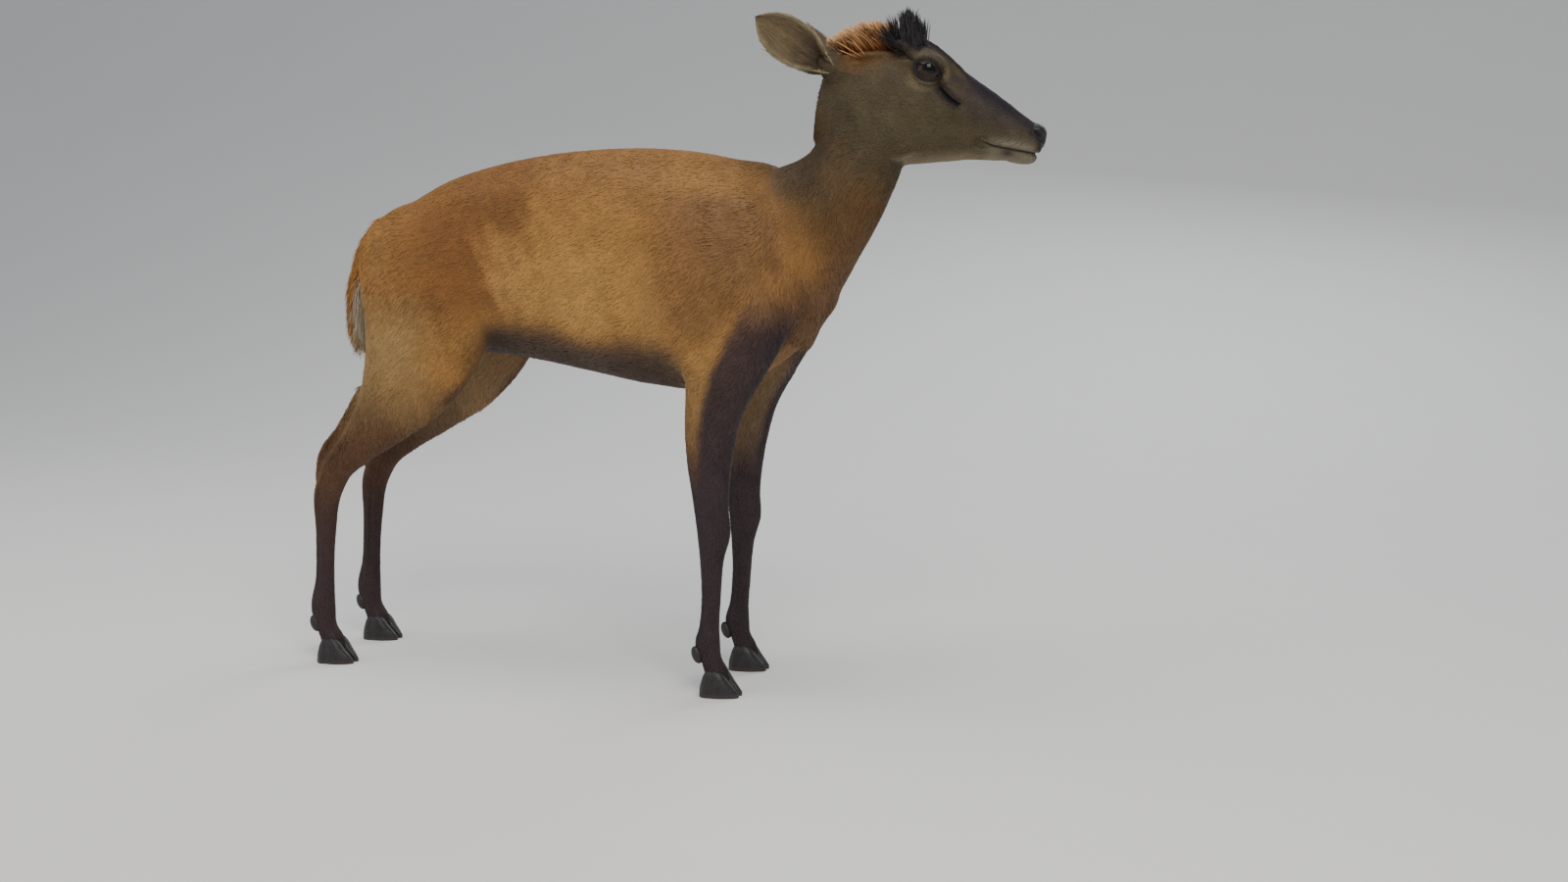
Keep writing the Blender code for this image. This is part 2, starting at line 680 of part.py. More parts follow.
def make_tuft(name, head, places, length, width, lie, pad):
    """A tuft: a low pad on the skin, with overlapping locks of hair rooted in it."""
    bpy.context.view_layer.update()
    centre, radii = pad
    tuft = moved(ball(name, centre, radii, segments=14, rings=8), HEAD_PLACE)
    axes = HEAD_PLACE.to_3x3()
    locks = []
    for u, y in places:
        spot, normal = skin_above(head, u, y)
        sway = random.uniform(-0.2, 0.2)
        back = axes @ Vector((lie[0], lie[1] * y + sway, lie[2]))
        size = length * random.uniform(0.85, 1.15)
        locks.append(lock(spot + normal * 0.001, normal, back, size, width))
    boolean(tuft, locks, "UNION")
    return cleared(tuft, [head])


def make_crown_tuft(head):
    """The bright tuft between the ears, brushed back in rows."""
    places = [
        (0.001 + 0.0100 * row, 0.0085 * (k - 0.5 * (row % 2)))
        for row in range(5)
        for k in (-2, -1, 0, 1, 2)
        if abs(k - 0.5 * (row % 2)) < 2.1 - 0.15 * row
    ]
    pad = ((0.0215, 0, 0.0440), (0.0300, 0.0205, 0.0085))
    return make_tuft("crown_tuft", head, places, 0.0280, 0.0125, (-1.0, 10.0, 0.25), pad)


def make_knob_tuft(side, head):
    """The dark tuft on the bony knob over each eye."""
    hand = SIDES[side]
    turns = [k * math.pi / 3 for k in range(6)]
    places = [(KNOB_U, hand * KNOB_OUT)]
    places += [(KNOB_U + 0.0068 * math.cos(a), hand * KNOB_OUT + 0.0052 * math.sin(a)) for a in turns]
    pad = ((KNOB_U, hand * KNOB_OUT, 0.0610), (0.0115, 0.0090, 0.0085))
    return make_tuft("knob_tuft_" + side, head, places, 0.0290, 0.0125, (-0.8, 4.0, 0.6), pad)


def make_tail(torso):
    """The tail lies down the rump, flat and full, with locks along its edges and at its tip."""
    rows = [
        (-0.226, 0, 0.452, 0.0120, 0.010, 0.010, 2),
        (-0.245, 0, 0.437, 0.0140, 0.009, 0.008, 2),
        (-0.2620, 0, 0.408, 0.0170, 0.0080, 0.0065, 2),
        (-0.2700, 0, 0.375, 0.0190, 0.0070, 0.0055, 2),
        (-0.2705, 0, 0.347, 0.0160, 0.0055, 0.0045, 2),
        (-0.2690, 0, 0.330, 0.0090, 0.0035, 0.0030, 2),
    ]
    tail = loft("tail", rows, rings=12, sides=12)
    spine = along(rows, 8)
    locks = []
    for i in range(3, 8):
        x, y, z, half = spine[i, :4]
        down = Vector(spine[i, :3] - spine[i - 1, :3]).normalized()
        for k in (-1, 1) if i < 7 else (-0.8, 0, 0.8):
            size = TAIL_LOCK * random.uniform(0.9, 1.1)
            root = Vector((x, k * half * 0.62, z)) - down * 0.008
            locks.append(lock(root, down + Vector((0, 0.4 * k, 0)), down + Vector((-0.10, 0, 0)), size, 0.015))
    boolean(tail, locks, "UNION")
    return cleared(tail, [torso])


CLAW_OUT = 0.0081  # from the middle of the foot to the middle of each claw


def claw_rows(hoof_x, y, hand):
    """One claw of a cloven hoof, from heel to tip, flat below."""
    rows = [  # along, inward bow, half width, rise
        (-0.016, 0.0000, 0.0045, 0.0100),
        (-0.013, 0.0000, 0.0068, 0.0190),
        (-0.004, 0.0000, 0.0074, 0.0240),
        (0.005, 0.0003, 0.0070, 0.0220),
        (0.013, 0.0014, 0.0052, 0.0120),
        (0.019, 0.0026, 0.0030, 0.0050),
        (0.0215, 0.0032, 0.0012, 0.0022),
    ]
    return [(hoof_x + 0.012 + x, y - hand * bow, 0.002, half, rise, 0.010, 2.6) for x, bow, half, rise in rows]


def make_claws(leg, hoof_x, hand):
    """The two claws of one foot, stood on the floor and cut under the hair line."""
    claws = []
    for place, inner in (("inner", -1), ("outer", 1)):
        y = hand * (STANCE + inner * CLAW_OUT)
        claw = loft(f"hoof_{leg}_{place}", claw_rows(hoof_x, y, hand * inner), rings=7, sides=10, forward=(1, 0, 0))
        points = points_of(claw)
        points[:, 2] = np.maximum(points[:, 2], 0)
        set_points(claw, points)
        claws.append(claw)
    return claws


def make_dewclaw(leg, hoof_x, hand, inner, cannon):
    place = "inner" if inner < 0 else "outer"
    spot = (hoof_x - 0.0085, hand * (STANCE + inner * 0.0066), 0.0400)
    claw = ball(f"dewclaw_{leg}_{place}", spot, (0.0050, 0.0042, 0.0085), tilt=-0.35, segments=8, rings=5)
    return cleared(claw, [cannon])


# Boxes that part the body. Each is a centre, full sizes and a tilt about Y.
NECK_CUT = ((0.2587, 0, 0.4990), (0.19, 0.20, 0.0686), math.radians(45))
CUTS = {  # middle and length of the leg's box along the body, height of the upper cut, of the lower
    "foreleg": (0.150, 0.260, 0.280, 0.152),
    "hindleg": (-0.210, 0.280, 0.300, 0.186),
}
HALF_BOX = 0.10  # each leg's box reaches from the middle to this far out
BELOW_FLOOR = 0.02


def make_legs(body):
    """Cuts each leg from the body near the elbow or the groin, and again at the knee or hock."""
    legs = []
    for name in LEGS:
        kind, side = name.split("_")
        middle, span, top, joint = CUTS[kind]
        y = SIDES[side] * (HALF_BOX + GAP)
        tall = top + BELOW_FLOOR
        upper = parted(body, name + "_upper", (middle, y, top - tall / 2), (span, 2 * HALF_BOX, tall))
        tall = joint + BELOW_FLOOR
        lower = parted(upper, name + "_lower", (middle, y, joint - tall / 2), (2 * span, 2 * HALF_BOX, tall))
        legs += [largest(upper), lower]
    return legs


def finish(parts):
    """Puts the solids in one collection, colours them and moves the origin below their middle."""
    group = bpy.data.collections.new("muntjac")
    bpy.context.scene.collection.children.link(group)
    low = np.min([points_of(obj).min(axis=0) for obj in parts], axis=0)
    high = np.max([points_of(obj).max(axis=0) for obj in parts], axis=0)
    shift = Vector((-(low[0] + high[0]) / 2, -(low[1] + high[1]) / 2, 0))
    for obj in parts:
        obj.data.transform(Matrix.Translation(shift))
        bpy.context.scene.collection.objects.unlink(obj)
        group.objects.link(obj)
        finish_name = next(slot for word, slot in SLOTS.items() if obj.name.startswith(word))
        material = bpy.data.materials.new(obj.name)
        material.use_nodes = True
        colour, roughness = FINISHES[finish_name]
        shader = material.node_tree.nodes["Principled BSDF"]
        shader.inputs["Base Color"].default_value = (*colour, 1)
        shader.inputs["Roughness"].default_value = roughness
        obj.data.materials.clear()
        obj.data.materials.append(material)
        obj.data.shade_smooth()
        obj.data.set_sharp_from_angle(angle=math.radians(50))


def main():
    empty_scene()
    body = whole_body()
    head = make_head()
    neck = parted(body, "neck", *NECK_CUT)
    largest(body)
    legs = make_legs(body)
    largest(body)
    parts = [body, neck] + legs
    eyes = [make_eye(side) for side in SIDES]
    ears = [make_ear(side, head) for side in SIDES]
    pad = make_nose_pad(head)
    tufts = [make_crown_tuft(head)] + [make_knob_tuft(side, head) for side in SIDES]
    tail = make_tail(body)
    parts += [head, pad, tail] + eyes + ears + tufts
    lowers = {obj.name: obj for obj in legs}
    for name, (hoof_x, _) in LEGS.items():
        hand = SIDES[name.split("_")[1]]
        lower = lowers[name + "_lower"]
        claws = make_claws(name, hoof_x, hand)
        for claw in claws:
            boolean(lower, [grown(claw, GAP)], "DIFFERENCE")
        largest(lower)
        parts += claws
        parts += [make_dewclaw(name, hoof_x, hand, inner, lower) for inner in (-1, 1)]
    finish(parts)


main()
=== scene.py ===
import math

import bpy
import numpy as np
from mathutils import Matrix, Vector


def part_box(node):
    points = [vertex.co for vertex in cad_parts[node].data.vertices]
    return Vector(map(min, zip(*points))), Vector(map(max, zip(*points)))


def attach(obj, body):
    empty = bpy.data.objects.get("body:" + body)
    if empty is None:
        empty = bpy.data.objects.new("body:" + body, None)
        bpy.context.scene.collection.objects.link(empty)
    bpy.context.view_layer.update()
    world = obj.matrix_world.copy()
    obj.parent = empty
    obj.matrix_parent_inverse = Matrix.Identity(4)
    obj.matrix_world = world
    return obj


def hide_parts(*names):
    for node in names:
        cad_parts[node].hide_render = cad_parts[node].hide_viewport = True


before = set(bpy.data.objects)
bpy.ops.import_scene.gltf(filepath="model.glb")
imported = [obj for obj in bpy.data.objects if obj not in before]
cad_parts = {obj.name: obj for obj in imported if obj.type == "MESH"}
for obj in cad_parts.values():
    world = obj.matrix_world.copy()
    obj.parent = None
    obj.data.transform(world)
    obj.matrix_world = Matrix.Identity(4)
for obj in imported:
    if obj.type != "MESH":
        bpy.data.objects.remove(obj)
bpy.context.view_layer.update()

sides = {"right": -1, "left": 1}


# Small sums on whole arrays
def unit(v):  # each row divided by its length
    return v / np.maximum(np.linalg.norm(v, axis=-1, keepdims=True), 1e-9)


def ease(value, low, high):
    # The smooth step 3 t ** 2 - 2 t ** 3 of the share t of the way from low to high
    t = np.clip((value - low) / (high - low), 0, 1)
    return t * t * (3 - 2 * t)


def bell(value, width):  # exp(-(value / width) ** 2)
    return np.exp(-((value / width) ** 2))


def wobble(points, size, seed):
    # Smooth noise of about -1 to 1: the sum of twelve sine waves in seeded directions
    pick = np.random.default_rng(seed)
    ways = unit(pick.normal(size=(12, 3))) * pick.uniform(0.6, 1.5, (12, 1)) * 2 * math.pi / size
    return np.sin(points @ ways.T + pick.uniform(0, 6.28, 12)).sum(axis=1) / 4


def between(first, last, share):
    # Rows that go from the first to the last as the share goes from 0 to 1
    share = share[:, None]
    return np.asarray(first) * (1 - share) + np.asarray(last) * share


def packed(values, kind=np.float32):
    return np.ascontiguousarray(values, kind).ravel()


# Where things are
pose = {"shoulderHeight": 0.51, "trunkLength": 0.500, "trunkWidth": 0.190, "rear": -0.250,
        "headLength": 0.206, "headPitch": 12, "headTurn": 9, "noseTip": (0.4415, 0, 0.5345),
        "turnAxis": (0.215, 0, 0), "stance": 0.052, "foreX": 0.131, "hindX": -0.289}
eye = {"along": 0.0870, "out": 0.0278, "up": 0.0370, "radius": 0.0134, "tilt": 0.24,
       "openLong": 0.0115, "openTall": 0.0080, "lid": 0.0010}
knob = {"along": 0.0675, "out": 0.0215, "up": 0.0570, "reach": (0.0140, 0.0112, 0.0125)}
noseAt = {"middle": (0.2010, 0, 0.0018), "reach": (0.0130, 0.0170, 0.0118)}

headPlace = (
    Matrix.Translation(pose["turnAxis"]) @ Matrix.Rotation(math.radians(pose["headTurn"]), 4, "Z")
    @ Matrix.Translation(Vector(pose["noseTip"]) - Vector(pose["turnAxis"]))
    @ Matrix.Rotation(math.radians(pose["headPitch"]), 4, "Y")
    @ Matrix.Translation((-pose["headLength"], 0, 0))
)
eyeMiddle = sum((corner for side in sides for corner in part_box("eye_" + side)), Vector()) / 4
# From the pose's frame to the CAD's
shift = np.array(eyeMiddle - headPlace @ Vector((eye["along"], 0, eye["up"])))
headTurnMatrix = np.array(headPlace.to_3x3())
headOrigin = np.array(headPlace.translation) + shift


def headCoords(points):  # along from the back of the skull, across, up from the nose's level
    return (points - headOrigin) @ headTurnMatrix


def onHead(coords):
    return np.asarray(coords, float) @ headTurnMatrix.T + headOrigin


def neckReach(points):  # distance along the neck, 0 at its middle, 0.034 at the throat's cut
    b = points - shift
    return ((b[:, 0] - 0.2587) + (b[:, 2] - 0.4990)) * 0.7071


# Shapes as arrays of points and triangles
def gridFaces(rows, cols, around=True):
    # Two triangles for each cell of a grid of points, closed round its columns or left open
    i, j = np.meshgrid(np.arange(rows - 1), np.arange(cols if around else cols - 1), indexing="ij")
    a, b = i * cols + j, i * cols + (j + 1) % cols
    c, d = b + cols, a + cols
    return np.concatenate([np.stack([a, b, c], -1).reshape(-1, 3), np.stack([a, c, d], -1).reshape(-1, 3)])


def closedGrid(points):
    # A grid of rings, closed by a point at the middle of its first and of its last ring
    rings, cols = points.shape[:2]
    ring = np.arange(cols)
    last = (rings - 1) * cols + ring
    poles = np.stack([points[0].mean(axis=0), points[-1].mean(axis=0)])
    first = np.stack([np.roll(ring, -1), ring, np.full(cols, rings * cols)], -1)
    end = np.stack([last, np.roll(last, -1), np.full(cols, rings * cols + 1)], -1)
    faces = np.concatenate([gridFaces(rings, cols), first, end])
    return np.concatenate([points.reshape(-1, 3), poles]), faces


def smoothRows(rows, count):
    # A Hermite curve through the rows, read at even steps of its length
    rows = np.array(rows, float)
    reach = np.concatenate([[0], np.cumsum(np.linalg.norm(np.diff(rows[:, :3], axis=0), axis=1))])
    slope = np.gradient(rows, reach, axis=0)
    want = np.linspace(0, reach[-1], count)
    i = np.clip(np.searchsorted(reach, want, side="right") - 1, 0, len(rows) - 2)
    span = (reach[i + 1] - reach[i])[:, None]
    t = (want - reach[i])[:, None] / span
    return ((2 * t**3 - 3 * t**2 + 1) * rows[i] + (t**3 - 2 * t**2 + t) * span * slope[i]
            + (3 * t**2 - 2 * t**3) * rows[i + 1] + (t**3 - t**2) * span * slope[i + 1])


def ovalTube(rows, rings=60, cols=48, forward=None):
    # An oval carried along a path: centre + across * half width * cos a + up * reach * sin a,
    # with both waves raised to 2 / squareness
    rows = smoothRows(rows, rings)
    centre = rows[:, :3]
    ahead = np.gradient(centre, axis=0) if forward is None else np.tile(np.array(forward, float), (rings, 1))
    ahead = unit(ahead)
    across = unit(np.array([0, 1.0, 0]) - ahead * ahead[:, 1:2])
    up = np.cross(ahead, across)
    a = np.arange(cols) * 2 * math.pi / cols
    wide = np.sign(np.cos(a)) * np.abs(np.cos(a)) ** (2 / rows[:, 6:7])
    tall = np.sign(np.sin(a)) * np.abs(np.sin(a)) ** (2 / rows[:, 6:7])
    reach = np.where(np.sin(a) >= 0, rows[:, 4:5], rows[:, 5:6])
    return closedGrid(centre[:, None] + across[:, None] * (rows[:, 3:4] * wide)[..., None]
                      + up[:, None] * (reach * tall)[..., None])


def egg(centre, radii, tilt=0.0, turn=0.0, rings=24, cols=32):
    # An ellipsoid: radii * (sin p cos a, sin p sin a, cos p), pitched nose down, then turned
    p = np.linspace(0, math.pi, rings + 2)[1:-1, None]
    a = np.arange(cols) * 2 * math.pi / cols
    ball = np.stack([np.sin(p) * np.cos(a), np.sin(p) * np.sin(a), np.cos(p) * np.ones(cols)], -1)
    spin = np.array(Matrix.Rotation(turn, 3, "Z") @ Matrix.Rotation(tilt, 3, "Y"))
    points, faces = closedGrid(ball * np.array(radii))
    return points @ spin.T + np.array(centre), faces


def joined(shapes):
    # The points of all the shapes in a row, and their triangles counted on
    starts = np.cumsum([0] + [len(points) for points, faces in shapes[:-1]])
    faces = np.concatenate([faces + start for (points, faces), start in zip(shapes, starts)])
    return np.concatenate([points for points, faces in shapes]), faces


def pieceFrom(name, points, faces, finish=None, values=None, patch=None, normals=None):
    # values are arrays kept on the points by name, patch is a place on the OFBake map for each corner
    mesh = bpy.data.meshes.new(name)
    mesh.vertices.add(len(points))
    mesh.vertices.foreach_set("co", packed(points))
    mesh.loops.add(faces.size)
    mesh.loops.foreach_set("vertex_index", packed(faces, np.int32))
    mesh.polygons.add(len(faces))
    mesh.polygons.foreach_set("loop_start", np.arange(0, faces.size, faces.shape[1], dtype=np.int32))
    mesh.update(calc_edges=True)
    mesh.shade_smooth()
    for key, value in (values or {}).items():
        colour = value.ndim == 2
        made = mesh.attributes.new(key, "FLOAT_COLOR" if colour else "FLOAT", "POINT")
        if colour:
            value = np.concatenate([value, np.ones((len(value), 1))], axis=1)
        made.data.foreach_set("color" if colour else "value", packed(value))
    if patch is not None:
        mesh.uv_layers.new(name="OFBake").data.foreach_set("uv", packed(patch))
    if normals is not None:
        made = mesh.attributes.new("custom_normal", "FLOAT_VECTOR", "POINT")
        made.data.foreach_set("vector", packed(normals))
    obj = bpy.data.objects.new(name, mesh)
    bpy.context.scene.collection.objects.link(obj)
    if finish is not None:
        mesh.materials.append(finish)
    return obj


def arraysOf(obj):
    # Points, triangles and point normals of an object with its modifiers applied
    bpy.context.view_layer.update()
    mesh = bpy.data.meshes.new_from_object(obj.evaluated_get(bpy.context.evaluated_depsgraph_get()))
    mesh.calc_loop_triangles()
    points, normals = np.empty(len(mesh.vertices) * 3), np.empty(len(mesh.vertices) * 3)
    mesh.vertices.foreach_get("co", points)
    mesh.vertices.foreach_get("normal", normals)
    faces = np.empty(len(mesh.loop_triangles) * 3, np.int32)
    mesh.loop_triangles.foreach_get("vertices", faces)
    bpy.data.meshes.remove(mesh)
    return points.reshape(-1, 3), faces.reshape(-1, 3), normals.reshape(-1, 3)


def weighted(obj, name, weights):
    # A vertex group of the weights, in steps of a tenth
    group = obj.vertex_groups.new(name=name)
    for level in range(1, 11):
        members = np.nonzero(np.round(weights * 10) == level)[0]
        if len(members):
            group.add(members.tolist(), level / 10, "REPLACE")
    return group.name


def changed(points, faces, kind, settings, weights=None):
    # One modifier run on arrays
    obj = pieceFrom("work", points, faces)
    modifier = obj.modifiers.new("work", kind)
    for key, value in settings.items():
        setattr(modifier, key, value)
    if weights is not None:
        modifier.vertex_group = weighted(obj, "work", weights)
    made = arraysOf(obj)
    bpy.data.objects.remove(obj)
    return made


# Materials, with shader sums written as expressions
class Wire:
    # A socket of a material; the operators add Math nodes
    def __init__(self, finish, socket):
        self.finish, self.socket = finish, socket

    def maths(self, operation, first, second):
        return self.finish.node("ShaderNodeMath", {"operation": operation}, {0: first, 1: second})

    def __add__(self, other): return self.maths("ADD", self, other)
    def __radd__(self, other): return self.maths("ADD", other, self)
    def __sub__(self, other): return self.maths("SUBTRACT", self, other)
    def __rsub__(self, other): return self.maths("SUBTRACT", other, self)
    def __mul__(self, other): return self.maths("MULTIPLY", self, other)
    def __rmul__(self, other): return self.maths("MULTIPLY", other, self)
    def __truediv__(self, other): return self.maths("DIVIDE", self, other)
    def __pow__(self, other): return self.maths("POWER", self, other)


class Finish:
    # One material: its nodes, and the Principled shader that they feed
    def __init__(self, name, fixed):
        self.material = bpy.data.materials.new(name)
        self.material.use_nodes = True
        self.tree = self.material.node_tree
        self.shader = self.tree.nodes["Principled BSDF"]
        for key, value in fixed.items():
            self.shader.inputs[key].default_value = value

    def node(self, kind, settings=None, sockets=None, out=0):
        made = self.tree.nodes.new(kind)
        for key, value in (settings or {}).items():
            setattr(made, key, value)
        for key, value in (sockets or {}).items():
            if isinstance(value, Wire):
                self.tree.links.new(value.socket, made.inputs[key])
            else:
                made.inputs[key].default_value = value
        return Wire(self, made.outputs[out])

    def place(self, scale=(1, 1, 1)):
        spot = self.node("ShaderNodeTexCoord", out="Object")
        return self.node("ShaderNodeMapping", sockets={"Vector": spot, "Scale": scale})

    def kept(self, name, out="Color"):
        return self.node("ShaderNodeAttribute", {"attribute_name": name}, out=out)

    def noise(self, where, size, detail=3, rough=0.55):
        return self.node("ShaderNodeTexNoise", {},
                         {"Vector": where, "Scale": size, "Detail": detail, "Roughness": rough})

    def span(self, value, low, high, first=0.0, last=1.0):
        return self.node("ShaderNodeMapRange", {"interpolation_type": "SMOOTHSTEP"},
                         {0: value, 1: low, 2: high, 3: first, 4: last})

    def mix(self, share, first, second, how="MIX"):
        first, second = [(*c, 1) if isinstance(c, tuple) and len(c) == 3 else c for c in (first, second)]
        return self.node("ShaderNodeMix", {"data_type": "RGBA", "blend_type": how},
                         {0: share, 6: first, 7: second}, out=2)

    def grey(self, value):
        return self.node("ShaderNodeCombineColor", {}, {0: value, 1: value, 2: value})

    def bump(self, height, strength, depth):
        return self.node("ShaderNodeBump", {}, {"Height": height, "Strength": strength, "Distance": depth})

    def feed(self, **wires):
        names = {"colour": "Base Color", "roughness": "Roughness", "normal": "Normal", "coat": "Coat Weight"}
        for key, wire in wires.items():
            self.tree.links.new(wire.socket, self.shader.inputs[names[key]])
        return self.material


# Camera, floor and light
view = {"at": (0.6924, -1.7309, 0.50), "yaw": 18.0, "pitch": -8.0, "lens": 43.45, "sensor": 36}
camera = bpy.data.objects.new("camera", bpy.data.cameras.new("camera"))
bpy.context.scene.collection.objects.link(camera)
camera.location = view["at"]
camera.rotation_euler = (math.radians(90 + view["pitch"]), 0, math.radians(view["yaw"]))
camera.data.lens = view["lens"]
camera.data.sensor_width = view["sensor"]
bpy.context.scene.camera = camera

studio = {"floor": (0.84, 0.83, 0.81), "reach": 7, "bendFrom": 1.2, "bend": 0.16,
          "sky": (0.80, 0.84, 0.90), "skyStrength": 0.44}


def makeStudio():
    # The floor is flat, then its height grows as the square of the way back, for a soft horizon
    rows, cols, reach = 40, 60, studio["reach"]
    x, y = np.meshgrid(np.linspace(-reach, reach, rows), np.linspace(-reach, reach, cols), indexing="ij")
    z = studio["bend"] * np.maximum(y - studio["bendFrom"], 0) ** 2
    points = np.stack([x, y, z], -1).reshape(-1, 3)
    paper = Finish("studio_floor", {"Roughness": 0.9})
    grain = paper.noise(paper.place(), 6.0, 4)
    low = tuple(c * 0.97 for c in studio["floor"])
    floor = pieceFrom("floor", points, gridFaces(rows, cols, False)[:, ::-1].copy(),
                      paper.feed(colour=paper.mix(grain, low, studio["floor"])))
    lamps = {  # place, aim, size, strength, colour
        "key": ((1.1, -2.0, 2.3), (0.0, 0.0, 0.3), 1.5, 50, (1.0, 0.96, 0.90)),
        "top": ((-0.5, -0.3, 2.4), (0.0, 0.0, 0.3), 1.6, 22, (1.0, 0.98, 0.95)),
        "fill": ((-2.3, -1.5, 1.0), (0.0, 0.0, 0.3), 1.8, 12, (0.88, 0.94, 1.0)),
        "rim": ((0.4, 2.2, 1.7), (0.0, 0.0, 0.4), 1.4, 20, (0.93, 0.97, 1.0)),
    }
    for name, (at, aim, size, strength, colour) in lamps.items():
        lamp = bpy.data.objects.new(name, bpy.data.lights.new(name, "AREA"))
        lamp.data.size, lamp.data.energy, lamp.data.color = size, strength, colour
        lamp.location = at
        lamp.rotation_euler = (Vector(aim) - Vector(at)).to_track_quat("-Z", "Y").to_euler()
        bpy.context.scene.collection.objects.link(lamp)
    world = bpy.data.worlds.new("studio")
    world.use_nodes = True
    sky = world.node_tree.nodes["Background"].inputs
    sky[0].default_value, sky[1].default_value = (*studio["sky"], 1), studio["skyStrength"]
    bpy.context.scene.world = world


makeStudio()
print("studio ready")

# The body under the coat
trunkRows = [  # share of the length, share of the height, half width, rise, drop, squareness
    (0.000, 0.775, 0.22, 0.020, 0.030, 2.0), (0.030, 0.775, 0.52, 0.044, 0.060, 2.0),
    (0.090, 0.778, 0.74, 0.070, 0.070, 2.0), (0.180, 0.780, 0.84, 0.096, 0.075, 2.1),
    (0.280, 0.778, 0.87, 0.113, 0.076, 2.1), (0.390, 0.773, 0.90, 0.126, 0.079, 2.2),
    (0.510, 0.765, 0.96, 0.136, 0.085, 2.2), (0.640, 0.760, 1.00, 0.139, 0.093, 2.2),
    (0.770, 0.760, 0.93, 0.131, 0.094, 2.1), (0.880, 0.770, 0.74, 0.108, 0.074, 2.0),
    (0.960, 0.780, 0.46, 0.060, 0.044, 2.0), (1.000, 0.785, 0.14, 0.020, 0.020, 2.0)]
neckRows = [
    (0.164, 0, 0.400, 0.062, 0.080, 0.088, 2), (0.217, 0, 0.448, 0.053, 0.062, 0.060, 2),
    (0.251, 0, 0.492, 0.044, 0.043, 0.050, 2), (0.267, 0, 0.530, 0.039, 0.037, 0.047, 2),
    (0.275, 0, 0.568, 0.036, 0.036, 0.042, 2), (0.281, 0, 0.600, 0.030, 0.030, 0.034, 2)]
skullRows = [  # along, height, half width, rise, drop, squareness
    (-0.010, -0.012, 0.020, 0.026, 0.034, 2.0), (0.015, -0.008, 0.032, 0.041, 0.046, 2.1),
    (0.043, -0.004, 0.0365, 0.050, 0.053, 2.2), (0.070, 0.001, 0.0380, 0.054, 0.056, 2.3),
    (0.092, 0.004, 0.0360, 0.052, 0.054, 2.3), (0.108, 0.003, 0.0315, 0.047, 0.048, 2.2),
    (0.125, 0.002, 0.0265, 0.040, 0.042, 2.2), (0.142, 0.000, 0.0235, 0.0340, 0.0350, 2.2),
    (0.160, -0.002, 0.0210, 0.0275, 0.0300, 2.2), (0.177, -0.005, 0.0195, 0.0225, 0.0235, 2.2),
    (0.191, -0.006, 0.0175, 0.0175, 0.0180, 2.1), (0.201, -0.006, 0.0140, 0.0115, 0.0110, 2.0),
    (0.206, -0.004, 0.0060, 0.0050, 0.0050, 2.0)]
forelegRows = [  # x, out, height, half width, front, back
    (0.196, -0.014, 0.400, 0.016, 0.022, 0.030), (0.183, -0.002, 0.366, 0.027, 0.034, 0.046),
    (0.162, 0.004, 0.325, 0.028, 0.034, 0.045), (0.146, 0.005, 0.280, 0.0235, 0.026, 0.034),
    (0.139, 0.003, 0.235, 0.0190, 0.021, 0.026), (0.138, 0.001, 0.190, 0.0155, 0.0168, 0.0195),
    (0.138, 0.000, 0.158, 0.0150, 0.0163, 0.0158), (0.137, 0.000, 0.133, 0.0120, 0.0123, 0.0128),
    (0.136, 0.000, 0.095, 0.0098, 0.0100, 0.0107), (0.134, 0.000, 0.065, 0.0102, 0.0102, 0.0117),
    (0.133, 0.000, 0.050, 0.0122, 0.0117, 0.0147), (0.136, 0.000, 0.034, 0.0114, 0.0102, 0.0112),
    (0.142, 0.000, 0.020, 0.0130, 0.0115, 0.0120), (0.145, 0.000, 0.012, 0.0125, 0.0100, 0.0110)]
hindlegRows = [
    (-0.145, -0.022, 0.450, 0.018, 0.036, 0.040), (-0.152, -0.008, 0.420, 0.032, 0.062, 0.062),
    (-0.158, 0.002, 0.385, 0.035, 0.078, 0.073), (-0.167, 0.007, 0.345, 0.031, 0.074, 0.064),
    (-0.188, 0.008, 0.300, 0.026, 0.058, 0.046), (-0.216, 0.005, 0.262, 0.021, 0.038, 0.028),
    (-0.245, 0.003, 0.230, 0.0168, 0.0235, 0.0180), (-0.268, 0.001, 0.206, 0.0152, 0.0180, 0.0160),
    (-0.281, 0.000, 0.178, 0.0130, 0.0150, 0.0152), (-0.285, 0.000, 0.135, 0.0102, 0.0110, 0.0117),
    (-0.288, 0.000, 0.085, 0.0100, 0.0104, 0.0110), (-0.290, 0.000, 0.054, 0.0122, 0.0122, 0.0147),
    (-0.287, 0.000, 0.036, 0.0114, 0.0102, 0.0114), (-0.280, 0.000, 0.021, 0.0130, 0.0115, 0.0122),
    (-0.276, 0.000, 0.012, 0.0125, 0.0100, 0.0110)]
legs = {  # hoof place along the body, hand, kind
    "foreleg_right": (pose["foreX"] + 0.002, -1, "fore"), "foreleg_left": (pose["foreX"] - 0.005, 1, "fore"),
    "hindleg_right": (pose["hindX"], -1, "hind"), "hindleg_left": (pose["hindX"] - 0.007, 1, "hind")}


def legRows(name):
    # The rows moved along the body to the leg's own hoof: not at all at the top and in full at the
    # ground, evenly between in a foreleg and by a smooth step in a hind leg
    hoofX, hand, kind = legs[name]
    rows = forelegRows if kind == "fore" else hindlegRows
    top = rows[0][2]
    lean = hoofX - pose["foreX" if kind == "fore" else "hindX"]

    def share(z):
        return (top - z) / top if kind == "fore" else ease(top - z, 0, top)

    return [(x + lean * share(z), hand * (pose["stance"] + out), z, half, front, back, 2)
            for x, out, z, half, front, back in rows]


